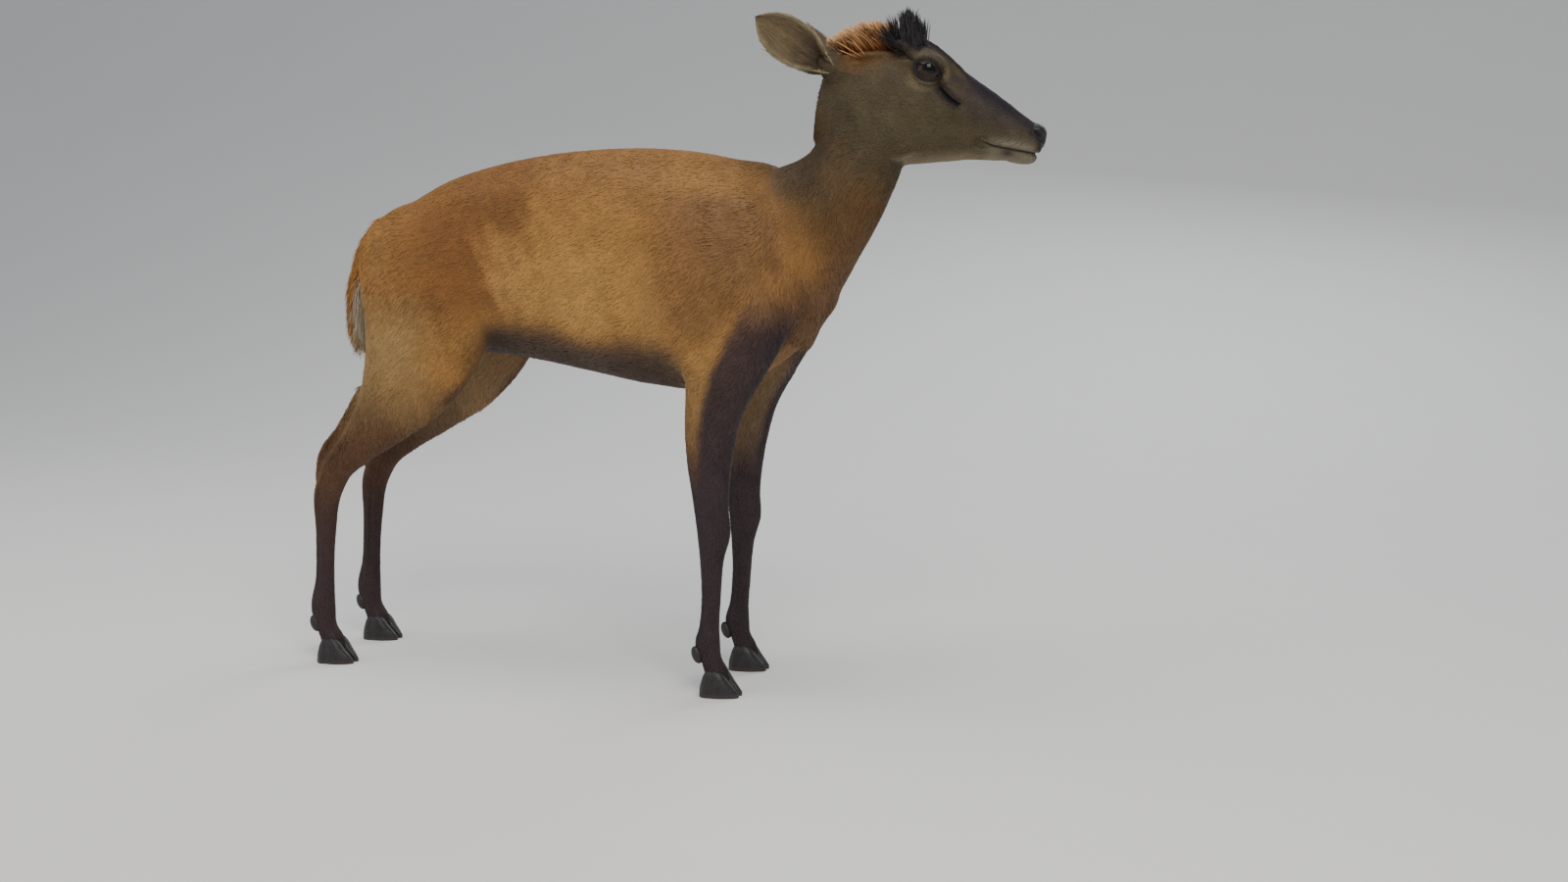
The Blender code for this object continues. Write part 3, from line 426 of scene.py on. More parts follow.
def bodyForms():
    # Oval tubes for the trunk, the turned neck, the legs and the tendons of the hocks, and eggs for
    # the shoulders, upper arms, thighs and the flesh over the hocks
    forms = [ovalTube([(pose["rear"] + a * pose["trunkLength"], 0, h * pose["shoulderHeight"],
                        w * pose["trunkWidth"] / 2, rise, drop, square)
                       for a, h, w, rise, drop, square in trunkRows], 90, 72, (1, 0, 0))]
    for hand in sides.values():
        forms += [egg((0.158, hand * 0.038, 0.412), (0.058, 0.037, 0.078), 0.25),
                  egg((0.176, hand * 0.042, 0.376), (0.042, 0.034, 0.042)),
                  egg((-0.165, hand * 0.036, 0.400), (0.080, 0.044, 0.076), 0.35),
                  egg((-0.190, hand * 0.033, 0.335), (0.048, 0.026, 0.052), 0.45)]
    points, faces = ovalTube(neckRows, 60, 48)
    angle = math.radians(pose["headTurn"]) * ease(points[:, 2], 0.455, 0.545)
    x, y = points[:, 0] - pose["turnAxis"][0], points[:, 1].copy()
    points[:, 0] = pose["turnAxis"][0] + x * np.cos(angle) - y * np.sin(angle)
    points[:, 1] = x * np.sin(angle) + y * np.cos(angle)
    forms.append((points, faces))
    for name in legs:
        hoofX, hand, kind = legs[name]
        forms.append(ovalTube(legRows(name), 120, 32))
        if kind == "hind":
            lean = (hoofX - pose["hindX"]) * 0.75
            forms.append(ovalTube([  # the tendon, from the calf to the point of the hock
                (-0.233 + lean, hand * 0.058, 0.290, 0.0060, 0.014, 0.006, 2),
                (-0.261 + lean, hand * 0.055, 0.246, 0.0060, 0.016, 0.006, 2),
                (-0.283 + lean, hand * 0.053, 0.216, 0.0075, 0.016, 0.007, 2),
                (-0.289 + lean, hand * 0.052, 0.192, 0.0080, 0.012, 0.006, 2)], 30, 20))
    return [(points + shift, faces) for points, faces in forms]


def headForms():
    # An oval tube for the skull and jaw, and eggs for the nose, chin, crown, cheeks, brows, the ridges
    # down to the nose, knobs, eye sockets, upper lips and the back of the skull
    skull = [(u, 0, h, half, rise, drop, square) for u, h, half, rise, drop, square in skullRows]
    forms = [ovalTube(skull, 90, 64, (1, 0, 0)),
             egg((0.1960, 0, 0.0025), (0.0100, 0.0145, 0.0090)),
             egg((0.1830, 0, -0.0225), (0.0200, 0.0110, 0.0075)),
             egg((0.0300, 0, 0.0395), (0.0360, 0.0260, 0.0070), -0.25)]
    for hand in sides.values():
        forms += [
            egg((0.062, hand * 0.0215, -0.020), (0.036, 0.0175, 0.033), 0.10),
            egg((0.104, hand * 0.0195, 0.010), (0.050, 0.0125, 0.014), 0.42, -hand * 0.12),
            egg((0.080, hand * 0.0228, 0.0488), (0.0300, 0.0115, 0.0088), 0.30, -hand * 0.1),
            egg((0.106, hand * 0.0135, 0.0465), (0.0370, 0.0055, 0.0060), 0.55, -hand * 0.12),
            egg((knob["along"], hand * knob["out"], knob["up"] - 0.0025), (0.0100, 0.0080, 0.0080)),
            egg((eye["along"], hand * (eye["out"] - 0.001), eye["up"]), (0.0182, 0.0147, 0.0160),
                0.0, -hand * 0.12),
            egg((0.178, hand * 0.0095, -0.0090), (0.0270, 0.0110, 0.0085), 0.0, hand * 0.05),
            egg((0.004, hand * 0.0200, 0.020), (0.0220, 0.0130, 0.0150), 0.39, -hand * 0.4)]
    return [(onHead(points), faces) for points, faces in forms]


def legMiddle(points, kind):
    # Where the middle line of the legs is along the body, at the height of each point
    rows = np.array(forelegRows if kind == "fore" else hindlegRows)[::-1]
    return np.interp(points[:, 2], rows[:, 2], rows[:, 0])


muscles = [  # middle (x, out, height), reach, amount, on both sides
    ((0.150, 0.075, 0.455), (0.014, 0.03, 0.045), 0.0022),  # ridge of the shoulder blade
    ((0.122, 0.085, 0.400), (0.026, 0.04, 0.040), 0.0030),  # triceps
    ((0.175, 0.075, 0.385), (0.020, 0.03, 0.030), 0.0022),  # point of the shoulder
    ((0.085, 0.095, 0.395), (0.020, 0.04, 0.060), -0.0032),  # hollow behind the shoulder
    ((0.128, 0.060, 0.318), (0.014, 0.03, 0.018), 0.0030),  # elbow
    ((-0.088, 0.090, 0.402), (0.030, 0.04, 0.050), -0.0062),  # hollow of the flank
    ((-0.040, 0.090, 0.385), (0.022, 0.04, 0.050), 0.0018),  # last ribs
    ((-0.112, 0.070, 0.478), (0.022, 0.03, 0.014), 0.0028),  # hip bone
    ((-0.228, 0.040, 0.432), (0.020, 0.03, 0.018), 0.0022),  # seat bone
    ((-0.112, 0.080, 0.350), (0.024, 0.03, 0.028), 0.0036),  # stifle
    ((-0.168, 0.090, 0.395), (0.045, 0.04, 0.050), 0.0026),  # thigh
    ((-0.205, 0.075, 0.300), (0.016, 0.03, 0.030), 0.0018),  # calf
    ((-0.160, 0.080, 0.300), (0.014, 0.03, 0.026), -0.0018),  # groove before the calf
    ((0.215, 0.050, 0.470), (0.016, 0.03, 0.050), -0.0024),  # groove of the neck
    ((0.246, 0.045, 0.470), (0.014, 0.03, 0.050), 0.0016),  # windpipe side
    ((0.198, 0.000, 0.500), (0.032, 0.03, 0.026), 0.0075),  # between neck and withers
]


def finer(points, faces, mask):
    # An edge with both its ends in the mask gets a point at its middle. A triangle with three such
    # edges becomes four and one with a single such edge becomes two, so that no gap opens
    pairs = np.sort(faces[:, [0, 1, 1, 2, 2, 0]].reshape(-1, 2), axis=1)
    pairs, back = np.unique(pairs, axis=0, return_inverse=True)
    split = mask[pairs].all(axis=1)
    middle = np.where(split, len(points) + np.cumsum(split) - 1, -1)[back.reshape(-1, 3)]
    count = (middle >= 0).sum(axis=1)
    (a, b, c), (ab, bc, ca) = faces[count == 3].T, middle[count == 3].T
    four = [np.stack(three, -1) for three in ((a, ab, ca), (b, bc, ab), (c, ca, bc), (ab, bc, ca))]
    start = (middle[count == 1] >= 0).argmax(axis=1)[:, None]
    a, b, c = np.take_along_axis(faces[count == 1], (start + np.arange(3)) % 3, axis=1).T
    m = middle[count == 1].max(axis=1)
    two = [np.stack((a, m, c), -1), np.stack((m, b, c), -1)]
    return (np.concatenate([points, points[pairs[split]].mean(axis=1)]),
            np.concatenate([faces[count == 0], *four, *two]))


def sculptBody(points, normals):
    # Each muscle lifts the skin along its normal by amount * exp(-distance squared); ribs are a
    # faint wave down the barrel, and a groove runs between bone and tendon in each lower leg
    b = points - shift
    x, z = b[:, 0], b[:, 2]
    both = np.stack([x, np.abs(b[:, 1]), z], -1)
    lift = np.zeros(len(b))
    for middle, reach, amount in muscles:
        lift += amount * np.exp(-(((both - np.array(middle)) / np.array(reach)) ** 2).sum(axis=1))
    barrel = ease(x, -0.06, 0.0) * (1 - ease(x, 0.07, 0.11)) * ease(z, 0.33, 0.37) * (1 - ease(z, 0.44, 0.48))
    lift += barrel * 0.00012 * np.sin((x + 0.35 * z) * 2 * math.pi / 0.024)
    side = np.abs(normals[:, 1])
    for kind in ("fore", "hind"):
        near = (x > 0) if kind == "fore" else (x < 0)
        low, high = (0.066, 0.130) if kind == "fore" else (0.070, 0.175)
        band = ease(z, low - 0.015, low + 0.01) * (1 - ease(z, high - 0.01, high + 0.015))
        off = x - legMiddle(b, kind)
        lift -= near * band * side * 0.0014 * bell(off + 0.0035, 0.0022)
    knee = bell(z - 0.158, 0.016) * (x > 0.1) * ease(x - legMiddle(b, "fore"), 0.0, 0.012)
    lift += 0.0016 * knee + 0.00006 * wobble(b, 0.02, 3)
    return points + normals * lift[:, None]


def mouthHeight(along):
    # The line of the lips falls evenly from the nose, and climbs again towards its corner
    return -0.0165 - 0.03 * (0.2060 - along) + 0.20 * np.maximum(0.0, 0.1620 - along)


def eyeFrame(h):
    # Offsets from the eye's middle: along its long axis, across its opening, outwards
    hand = np.where(h[:, 1] >= 0, 1.0, -1.0)
    off = np.stack([h[:, 0] - eye["along"], h[:, 1] * hand - eye["out"], h[:, 2] - eye["up"]], -1)
    c, s = math.cos(eye["tilt"]), math.sin(eye["tilt"])
    return np.stack([off[:, 0] * c - off[:, 2] * s, off[:, 0] * s + off[:, 2] * c, off[:, 1]], -1)


def opening(across, rise):
    # Half length and half height of the opened lids, longer towards the front corner and deeper below
    long = np.where(across > 0, 1.08, 0.97) * eye["openLong"]
    return long, np.where(rise > 0, 0.86, 1.08) * eye["openTall"]


def lidMeasure(h):
    # 1 on the edge of the lids, less inside: |a / long| ** 1.7 + |b / tall| ** 1.7 on the eyeball
    off = eyeFrame(h)
    flat = unit(off) * eye["radius"]
    long, tall = opening(flat[:, 0], flat[:, 1])
    measure = (np.abs(flat[:, 0]) / long) ** 1.7 + (np.abs(flat[:, 1]) / tall) ** 1.7
    return np.where(flat[:, 2] > 0.0, measure, 9.0), np.linalg.norm(off, axis=1), off


def slitMeasure(h):
    # Distance from, and share along, the arched line of the gland before the eye
    start, end = np.array([0.1015, 0.0262]), np.array([0.1235, 0.0118])
    way = end - start
    off = np.stack([h[:, 0] - start[0], h[:, 2] - start[1]], -1)
    share = (off @ way) / (way @ way)
    cross = (off[:, 0] * way[1] - off[:, 1] * way[0]) / np.linalg.norm(way)
    return cross - 0.0018 * np.sin(np.clip(share, 0, 1) * math.pi), share


def noseMask(points):
    # The leather is where the point lies inside an ellipsoid about the nose
    off = (headCoords(points) - np.array(noseAt["middle"])) / np.array(noseAt["reach"])
    return 1 - ease((off**2).sum(axis=1), 0.85, 1.1)


def knobReach(h):
    # 1 at the edge of the dark tuft of the nearer knob, less inside
    hand = np.where(h[:, 1] >= 0, 1.0, -1.0)
    off = h - np.stack([np.full(len(h), knob["along"]), hand * knob["out"], np.full(len(h), knob["up"])], -1)
    return np.linalg.norm(off / np.array(knob["reach"]), axis=1)


def nostril(h):
    # A comma: one bell across the opening and a smaller one that curls up and back from it
    du, dy, dv = h[:, 0] - 0.2008, np.abs(h[:, 1]) - 0.0102, h[:, 2] + 0.0002
    main = np.exp(-((du * 0.8 - dy * 0.6) / 0.0042) ** 2 - ((du * 0.5 + dv * 0.87) / 0.0026) ** 2)
    curl = np.exp(-((du + 0.0050) / 0.0034) ** 2 - ((dv - 0.0032) / 0.0014) ** 2)
    return np.clip(main + 0.6 * curl, 0, 1) * (np.abs(h[:, 1]) > 0.004) * (du > -0.012)


def sculptHead(points, normals):
    # Lids keep to a ball a little larger than the eye, the opening sinks behind it, and grooves
    # and swellings are bell curves of the distance from a line
    h = headCoords(points)
    face = ease(h[:, 0], -0.01, 0.03) * (h[:, 2] > -0.075)
    lift = np.zeros(len(h))
    side = np.abs(h[:, 1])
    mouth = h[:, 2] - mouthHeight(h[:, 0])
    reach = ease(h[:, 0], 0.148, 0.156)
    lips = -0.0017 * bell(mouth, 0.0010) + 0.0009 * bell(mouth - 0.0034, 0.0026)
    lift += reach * (lips + 0.0007 * bell(mouth + 0.0032, 0.0024))
    corner = np.hypot(h[:, 0] - 0.151, h[:, 2] - mouthHeight(0.151))
    lift += 0.0011 * bell(corner - 0.0055, 0.0025) * (h[:, 0] < 0.153) - 0.0009 * bell(corner, 0.003)
    across, share = slitMeasure(h)
    length = ease(share, -0.12, 0.15) * (1 - ease(share, 0.85, 1.12)) * (side > 0.008)
    lift += length * (-0.0034 * bell(across, 0.0014) + 0.0012 * bell(np.abs(across) - 0.0037, 0.0017))
    # Jaw muscle, hollow of the cheek, dip between the ridges, bone of the nose and groove below it
    lift += 0.0016 * bell(h[:, 0] - 0.030, 0.020) * bell(h[:, 2] + 0.030, 0.018) * ease(side, 0.01, 0.03)
    lift -= 0.0014 * bell(h[:, 0] - 0.128, 0.020) * bell(h[:, 2] + 0.004, 0.009) * ease(side, 0.01, 0.02)
    lift -= 0.0012 * bell(h[:, 1], 0.008) * bell(h[:, 0] - 0.100, 0.030) * (h[:, 2] > 0.03)
    lift += 0.0010 * bell(h[:, 1], 0.007) * bell(h[:, 0] - 0.160, 0.030) * (h[:, 2] > 0.0)
    lift -= 0.0012 * bell(h[:, 1], 0.0011) * (h[:, 0] > 0.196) * (h[:, 2] < 0.004)
    lift += 0.00012 * wobble(h, 0.012, 5) - 0.0050 * nostril(h)
    out = points + normals * (lift * face)[:, None]
    h = headCoords(out)
    measure, radius, off = lidMeasure(h)
    over = ease(off[:, 1], -0.002, 0.002)
    crease = 0.0013 * bell(measure - 1.90, 0.20) * over + 0.0008 * bell(measure - 1.75, 0.17) * (1 - over)
    crease += 0.0005 * bell(measure - 2.50, 0.20) * (1 - over) - 0.0009 * bell(measure - 2.75, 0.45) * over
    crease += 0.00022 * np.sin(13 * np.arctan2(off[:, 1], off[:, 0]) + 90 * radius) * bell(measure - 2.3, 0.7)
    hold = (1 - ease(measure, 1.5, 3.4)) * (radius < 0.027)
    lidRadius = eye["radius"] + eye["lid"] + 0.0005 * ease(measure, 1.0, 1.5)
    target = np.where(measure < 1, eye["radius"] - 0.0030 * ease(1 - measure, 0.0, 0.25), lidRadius)
    grown = radius + (target - radius) * hold - crease * (radius < 0.03)
    hand = np.where(h[:, 1] >= 0, 1, -1)
    middle = np.stack([np.full(len(h), eye["along"]), hand * eye["out"], np.full(len(h), eye["up"])], -1)
    near = (radius < 0.03) & (measure < 8) & (face > 0)
    scaled = middle + (h - middle) * (grown / np.maximum(radius, 1e-6))[:, None]
    return np.where(near[:, None], onHead(scaled), out)


def coatDepth(points):
    # How far the skin lies below the tips of the coat
    h, k = headCoords(points), neckReach(points)
    b = points - shift
    depth = 0.0018 - 0.0006 * ease(k, 0.0, 0.07)
    depth = depth - 0.0005 * ease(h[:, 0], 0.06, 0.12) * (k > 0.02)
    depth = np.where(k < 0.0, depth - 0.0009 * ease(-b[:, 2], -0.32, -0.20), depth)
    return depth * ease(lidMeasure(h)[1], 0.014, 0.024)


# Size of the melt, rounds of smoothing before and after the face is made finer, triangles left of each
skinLook = {"grain": 0.0014, "rounds": 150, "lastRounds": 12, "body": 72000, "head": 36000}


def thinned(points, faces, free, goal):
    # The triangles wholly in the mask are merged until about the goal is left of them
    inside = free[faces].all(axis=1).sum()
    print("thinning", inside, "of", len(faces), "triangles to", goal)
    ratio = (len(faces) - inside + goal) / len(faces)
    return changed(points, faces, "DECIMATE", {"ratio": ratio, "use_collapse_triangulate": True},
                   free.astype(float))


def detailMask(points, closer=False):
    # Where the face needs small triangles: about the eyes, nose, mouth and gland, or only at the lids
    h = headCoords(points)
    ahead = neckReach(points) > 0.04
    measure, radius, off = lidMeasure(h)
    if closer:
        return ahead & (radius < 0.019) & (measure > 0.6) & (measure < 2.3)
    eyes = (radius < 0.021) & (off[:, 2] > 0)
    mouth = (h[:, 0] > 0.148) & (np.abs(h[:, 2] - mouthHeight(h[:, 0])) < 0.0040)
    across, share = slitMeasure(h)
    gland = (np.abs(across) < 0.0050) & (share > -0.2) & (share < 1.2) & (np.abs(h[:, 1]) > 0.006)
    return ahead & (eyes | mouth | gland | (noseMask(points) > 0))


def makeSkin():
    # The forms melt into one, are smoothed, less on the head and lower legs, made finer at the face,
    # sculpted, thinned where nothing small is and set in by the depth of the coat
    points, faces, normals = changed(*joined(bodyForms() + headForms()), "REMESH",
                                     {"mode": "VOXEL", "voxel_size": skinLook["grain"]})
    print("skin melted:", len(faces), "triangles")
    head = ease(neckReach(points), 0.015, 0.055)
    low = 1 - ease(points[:, 2], 0.24, 0.36)
    soft = np.clip(1 - 0.90 * head - 0.93 * low, 0, 1)
    points, faces, normals = changed(points, faces, "SMOOTH",
                                     {"factor": 0.5, "iterations": skinLook["rounds"]}, soft)
    for closer in (False, True):
        points, faces = finer(points, faces, detailMask(points, closer))
    points, faces, normals = changed(points, faces, "SMOOTH",
                                     {"factor": 0.5, "iterations": skinLook["lastRounds"]})
    points = sculptBody(points, normals)
    points = sculptHead(points, normals)
    for part in ("body", "head"):
        ahead = neckReach(points) > 0.03
        kept = ahead if part == "body" else ~ahead | detailMask(points)
        points, faces, normals = thinned(points, faces, ~kept & (points[:, 2] > 0.022), skinLook[part])
    points = points - normals * coatDepth(points)[:, None]
    print("skin shaped:", len(faces), "triangles")
    return points, faces


skinPoints, skinFaces = makeSkin()

# Markings, with painted shade and highlights among them, shared by the skin and the coat
shades = {
    "flank": (0.278, 0.132, 0.033), "loinAndHollowShade": (0.150, 0.056, 0.013), "goldAndHighlight": (0.440, 0.230, 0.062),
    "belly": (0.050, 0.030, 0.020), "groin": (0.200, 0.135, 0.075), "chest": (0.084, 0.043, 0.022),
    "rump": (0.345, 0.155, 0.030), "shoulder": (0.150, 0.070, 0.025), "neck": (0.054, 0.035, 0.014),
    "nape": (0.042, 0.026, 0.012), "foreneck": (0.120, 0.055, 0.018), "face": (0.064, 0.046, 0.023),
    "cheek": (0.072, 0.057, 0.025), "bridge": (0.018, 0.014, 0.023), "ring": (0.190, 0.148, 0.088),
    "lip": (0.220, 0.190, 0.130), "throat": (0.190, 0.150, 0.090), "dark": (0.013, 0.010, 0.011),
    "shank": (0.034, 0.021, 0.024), "stripe": (0.024, 0.015, 0.022), "thigh": (0.300, 0.190, 0.070),
    "hindShank": (0.066, 0.025, 0.012), "crown": (0.360, 0.145, 0.034)}


def markingsAndPaintedLight(points, normals):
    # Each shade is laid over the last by a mask of smooth steps in height, reach and facing
    b, h, k = points - shift, headCoords(points), neckReach(points)
    x, y, z = b[:, 0], np.abs(b[:, 1]), b[:, 2]
    up, front = normals[:, 2], normals[:, 0]
    drift = wobble(b, 0.09, 11)
    fleck = wobble(b, 0.022, 12)
    z2, x2 = z + 0.010 * drift, x + 0.012 * drift
    colour = np.tile(np.array(shades["flank"]), (len(b), 1))

    def lay(name, mask):
        return between(colour, shades[name], np.clip(mask, 0, 1))

    # The gold band on the lower flank is paler hair, brightened by a painted highlight where the barrel
    # bulges
    colour = lay("goldAndHighlight", 0.75 * bell(z2 - 0.385, 0.055) * bell(x2 - 0.03, 0.14))
    # Darker coat along the loin
    colour = lay("loinAndHollowShade", 0.30 * ease(z2, 0.455, 0.510) * (1 - ease(x2, 0.02, 0.16)))
    # The same dark tone in the hollow of the flank before the thigh is partly darker coat and partly painted
    # shade of the hollow
    x3 = x + 0.022 * drift + 0.006 * fleck - 0.20 * (z - 0.42)
    hollow = ease(x3, -0.225, -0.115) * (1 - ease(x3, -0.088, -0.030)) * ease(z2, 0.330, 0.385)
    colour = lay("loinAndHollowShade", 0.78 * hollow * (1 - 0.55 * ease(z2, 0.455, 0.505)))
    colour = lay("rump", 0.8 * ease(-x2, 0.195, 0.235) * ease(z2, 0.36, 0.40))
    colour = lay("thigh", 0.75 * ease(-x2, 0.10, 0.17) * (1 - ease(z2, 0.335, 0.400)))
    # A painted highlight on the shoulder, in the same gold
    colour = lay("goldAndHighlight", 0.35 * bell(x2 - 0.165, 0.028) * bell(z2 - 0.42, 0.06))
    # Painted shade along the lower side of the barrel, over the brown hair of the belly
    colour = lay("belly", 0.85 * (1 - ease(z2, 0.322, 0.362)) * ease(x, -0.125, -0.07)
                 * (1 - ease(x, 0.095, 0.130)))
    colour = lay("shoulder", 0.8 * bell(x2 - 0.152, 0.060) * ease(z2, 0.33, 0.39)
                 * (1 - ease(z2, 0.47, 0.51)))
    # Painted shade on the underside, where it faces down, over its brown hair
    colour = lay("belly", 0.9 * ease(-up, 0.25, 0.75) * ease(z, 0.26, 0.29) * (1 - ease(x, 0.12, 0.18)))
    # Painted shade on the front of the chest, where it faces forward, over its dark brown hair
    colour = lay("chest", 0.8 * ease(front, 0.35, 0.8) * ease(x, 0.15, 0.19) * (1 - ease(z2, 0.42, 0.47)))
    # The neck is dark grey-brown hair, darkened further as painted shade
    colour = lay("neck", 0.9 * ease(k, -0.085, -0.015))
    colour = lay("nape", 0.75 * ease(k, -0.10, -0.02) * ease(up - 0.8 * front, 0.2, 0.9)
                 * (1 - ease(k, 0.05, 0.09)))
    colour = lay("foreneck", 0.65 * ease(k, -0.10, -0.04) * (1 - ease(k, 0.0, 0.03)) * ease(front, 0.1, 0.7))
    # Legs: tan at the sides above, a dusky stripe down the front, all dusky below
    fore = (x > 0.02) * (1 - ease(z2, 0.300, 0.360)) * (k < 0)
    off = x - legMiddle(b, "fore")
    colour = lay("thigh", 0.35 * fore * ease(z, 0.22, 0.28) * ease(x, 0.095, 0.125))
    ahead = ease(off, -0.014, -0.001) * (1 - ease(off, 0.040, 0.060)) * ease(y, 0.026, 0.050)
    colour = lay("stripe", 0.92 * (x > 0.02) * (k < -0.02) * (1 - ease(z2, 0.342, 0.408)) * ahead)
    colour = lay("shank", fore * (1 - ease(z2, 0.20, 0.30)))
    hind = (x < -0.12) * (1 - ease(z2, 0.22, 0.33))
    colour = lay("hindShank", 0.9 * hind)
    colour = lay("shank", (x < -0.12) * (1 - ease(z2, 0.10, 0.23)) * 0.9)
    colour = lay("thigh", 0.5 * (x < -0.12) * ease(z, 0.16, 0.20) * (1 - ease(z, 0.30, 0.36))
                 * ease(-front, 0.4, 0.9))
    # The insides of the legs and the groin are pale tan, darkened as painted shade between the legs
    inner = ease(-normals[:, 1] * np.sign(b[:, 1]), 0.3, 0.8) * (y > 0.012) * (k < -0.03)
    colour = lay("groin", 0.55 * inner * ease(z, 0.20, 0.27) * (1 - ease(z, 0.33, 0.38)))
    # Head: grey-brown, dark down the bridge, pale at the lips, the throat and about the eyes
    u, v, side = h[:, 0], h[:, 2], np.abs(h[:, 1])
    head = ease(k, 0.0, 0.05)
    top = normals @ headTurnMatrix[:, 2]
    # The face and cheeks are grey-brown hair, darkened further as painted shade
    colour = lay("face", head)
    colour = lay("cheek", 0.75 * head * bell(u - 0.085, 0.05) * bell(v + 0.012, 0.022))
    colour = lay("bridge", 0.85 * head * ease(u, 0.062, 0.085) * ease(top, 0.25, 0.75)
                 * (1 - 0.4 * ease(u, 0.17, 0.19)))
    colour = lay("bridge", 0.45 * head * ease(u, 0.115, 0.14) * ease(v, -0.006, 0.008))
    colour = lay("throat", head * ease(-top, 0.45, 0.9) * ease(u, 0.03, 0.07))
    colour = lay("lip", 0.9 * head * ease(u, 0.15, 0.175) * bell(v - mouthHeight(u) - 0.003, 0.0058)
                 * (1 - ease(u, 0.196, 0.203)))
    colour = lay("lip", 0.9 * head * ease(u, 0.150, 0.170) * ease(mouthHeight(u) - v, 0.0, 0.004))
    # The spot on the lower lip
    colour = lay("dark", 0.75 * head * bell(u - 0.176, 0.008) * bell(v - mouthHeight(u) + 0.004, 0.0035))
    # Pale about the eyes and dark on their lids, and the gland's slit
    measure, radius, away = lidMeasure(h)
    colour = lay("ring", 0.85 * head * bell(radius - 0.0175, 0.0042) * ease(measure, 1.3, 2.2)
                 * (side > 0.012) * (1 - 0.5 * ease(away[:, 1], 0.004, 0.012)))
    colour = lay("dark", 0.9 * head * (1 - ease(measure, 1.08, 1.38)) * (side > 0.012) * (radius < 0.02))
    across, share = slitMeasure(h)
    on = ease(share, -0.15, 0.1) * (1 - ease(share, 0.9, 1.15)) * head * (side > 0.01)
    colour = lay("bridge", 0.6 * on * bell(across, 0.0060))
    colour = lay("dark", on * bell(across, 0.0021))
    # The line of the mouth, the knobs and the stripes below them, the crown and the nose
    colour = lay("dark", head * ease(u, 0.148, 0.158) * bell(v - mouthHeight(u), 0.0011))
    colour = lay("dark", 0.92 * head * (1 - ease(knobReach(h), 0.85, 1.35)))
    colour = lay("dark", 0.55 * head * bell(side - 0.0135 - 0.25 * (0.105 - u), 0.0035)
                 * ease(u, 0.070, 0.085) * (1 - ease(u, 0.125, 0.14)) * ease(top, 0.3, 0.7))
    colour = lay("crown", 0.9 * head * bell(u - 0.024, 0.026) * bell(side, 0.020) * (v > 0.02))
    colour = lay("dark", 0.7 * head * ease(u, 0.180, 0.200) * bell(np.hypot(side, v - 0.002), 0.020))
    colour = lay("dark", noseMask(points) * head)
    colour = lay("dark", 0.5 * (1 - ease(z, 0.018, 0.04)))  # just over the hooves the hair is dark again
    return np.clip(colour * (1 + 0.07 * fleck + 0.05 * drift)[:, None], 0.004, 0.95)


# The lie of the coat
def lieOf(points, normals):
    # The hair runs back along the head, down the neck, back and down the trunk and down the legs;
    # the ways are blended, swirled a little by smooth noise and laid flat on the skin
    b, h, k = points - shift, headCoords(points), neckReach(points)
    x, y, z = b[:, 0], b[:, 1], b[:, 2]
    flat = 1 - np.abs(normals[:, 2])
    side = np.sign(y)
    way = np.stack([-1 + 0 * x, 0.18 * side * ease(normals[:, 2], 0.3, 0.9), -0.12 - 0.42 * flat], -1)

    def turnTo(new, share):
        return between(unit(way), unit(np.asarray(new, float)), np.clip(share, 0, 1))

    way = turnTo((-0.75, 0, -0.75), 0.8 * ease(x, 0.06, 0.15) * (1 - ease(z, 0.40, 0.47)))
    way = turnTo((-0.55, 0, -0.85), ease(-x, 0.08, 0.16) * (1 - ease(z, 0.38, 0.45)))
    way = turnTo((-0.30, 0, -1.0), ease(-x, 0.20, 0.25))
    way = turnTo((-0.45, 0, -0.89), ease(k, -0.10, -0.03))
    way = turnTo((-0.10, 0, -1.0), ease(x, 0.16, 0.20) * ease(normals[:, 0], 0.2, 0.6) * (k < -0.02))
    way = turnTo((-0.06, 0, -1.0), 1 - ease(z, 0.24, 0.31))
    back = headTurnMatrix @ np.array([-1, 0, 0.02])
    way = turnTo(back, ease(k, 0.0, 0.05))
    down = headTurnMatrix @ np.array([-0.85, 0, -0.55])
    way = turnTo(down, 0.7 * ease(k, 0.0, 0.05) * (1 - ease(h[:, 2], -0.03, 0.01))
                 * (1 - ease(h[:, 0], 0.10, 0.13)))
    side = np.sign(h[:, 1])
    lip = np.stack([-0.45 + 0 * x, 0.55 * side, -0.70 + 0 * x], -1) @ headTurnMatrix.T
    way = turnTo(lip, ease(h[:, 0], 0.184, 0.196) * (1 - ease(h[:, 2], 0.0, 0.012)) * (k > 0.03))
    swirl = (0.24 * wobble(b, 0.10, 21) + 0.12 * wobble(b, 0.03, 22)) * (1 - 0.6 * ease(k, 0.0, 0.05))
    way = way - normals * (way * normals).sum(axis=1, keepdims=True)
    way = unit(way)
    return unit(way * np.cos(swirl)[:, None] + np.cross(normals, way) * np.sin(swirl)[:, None])


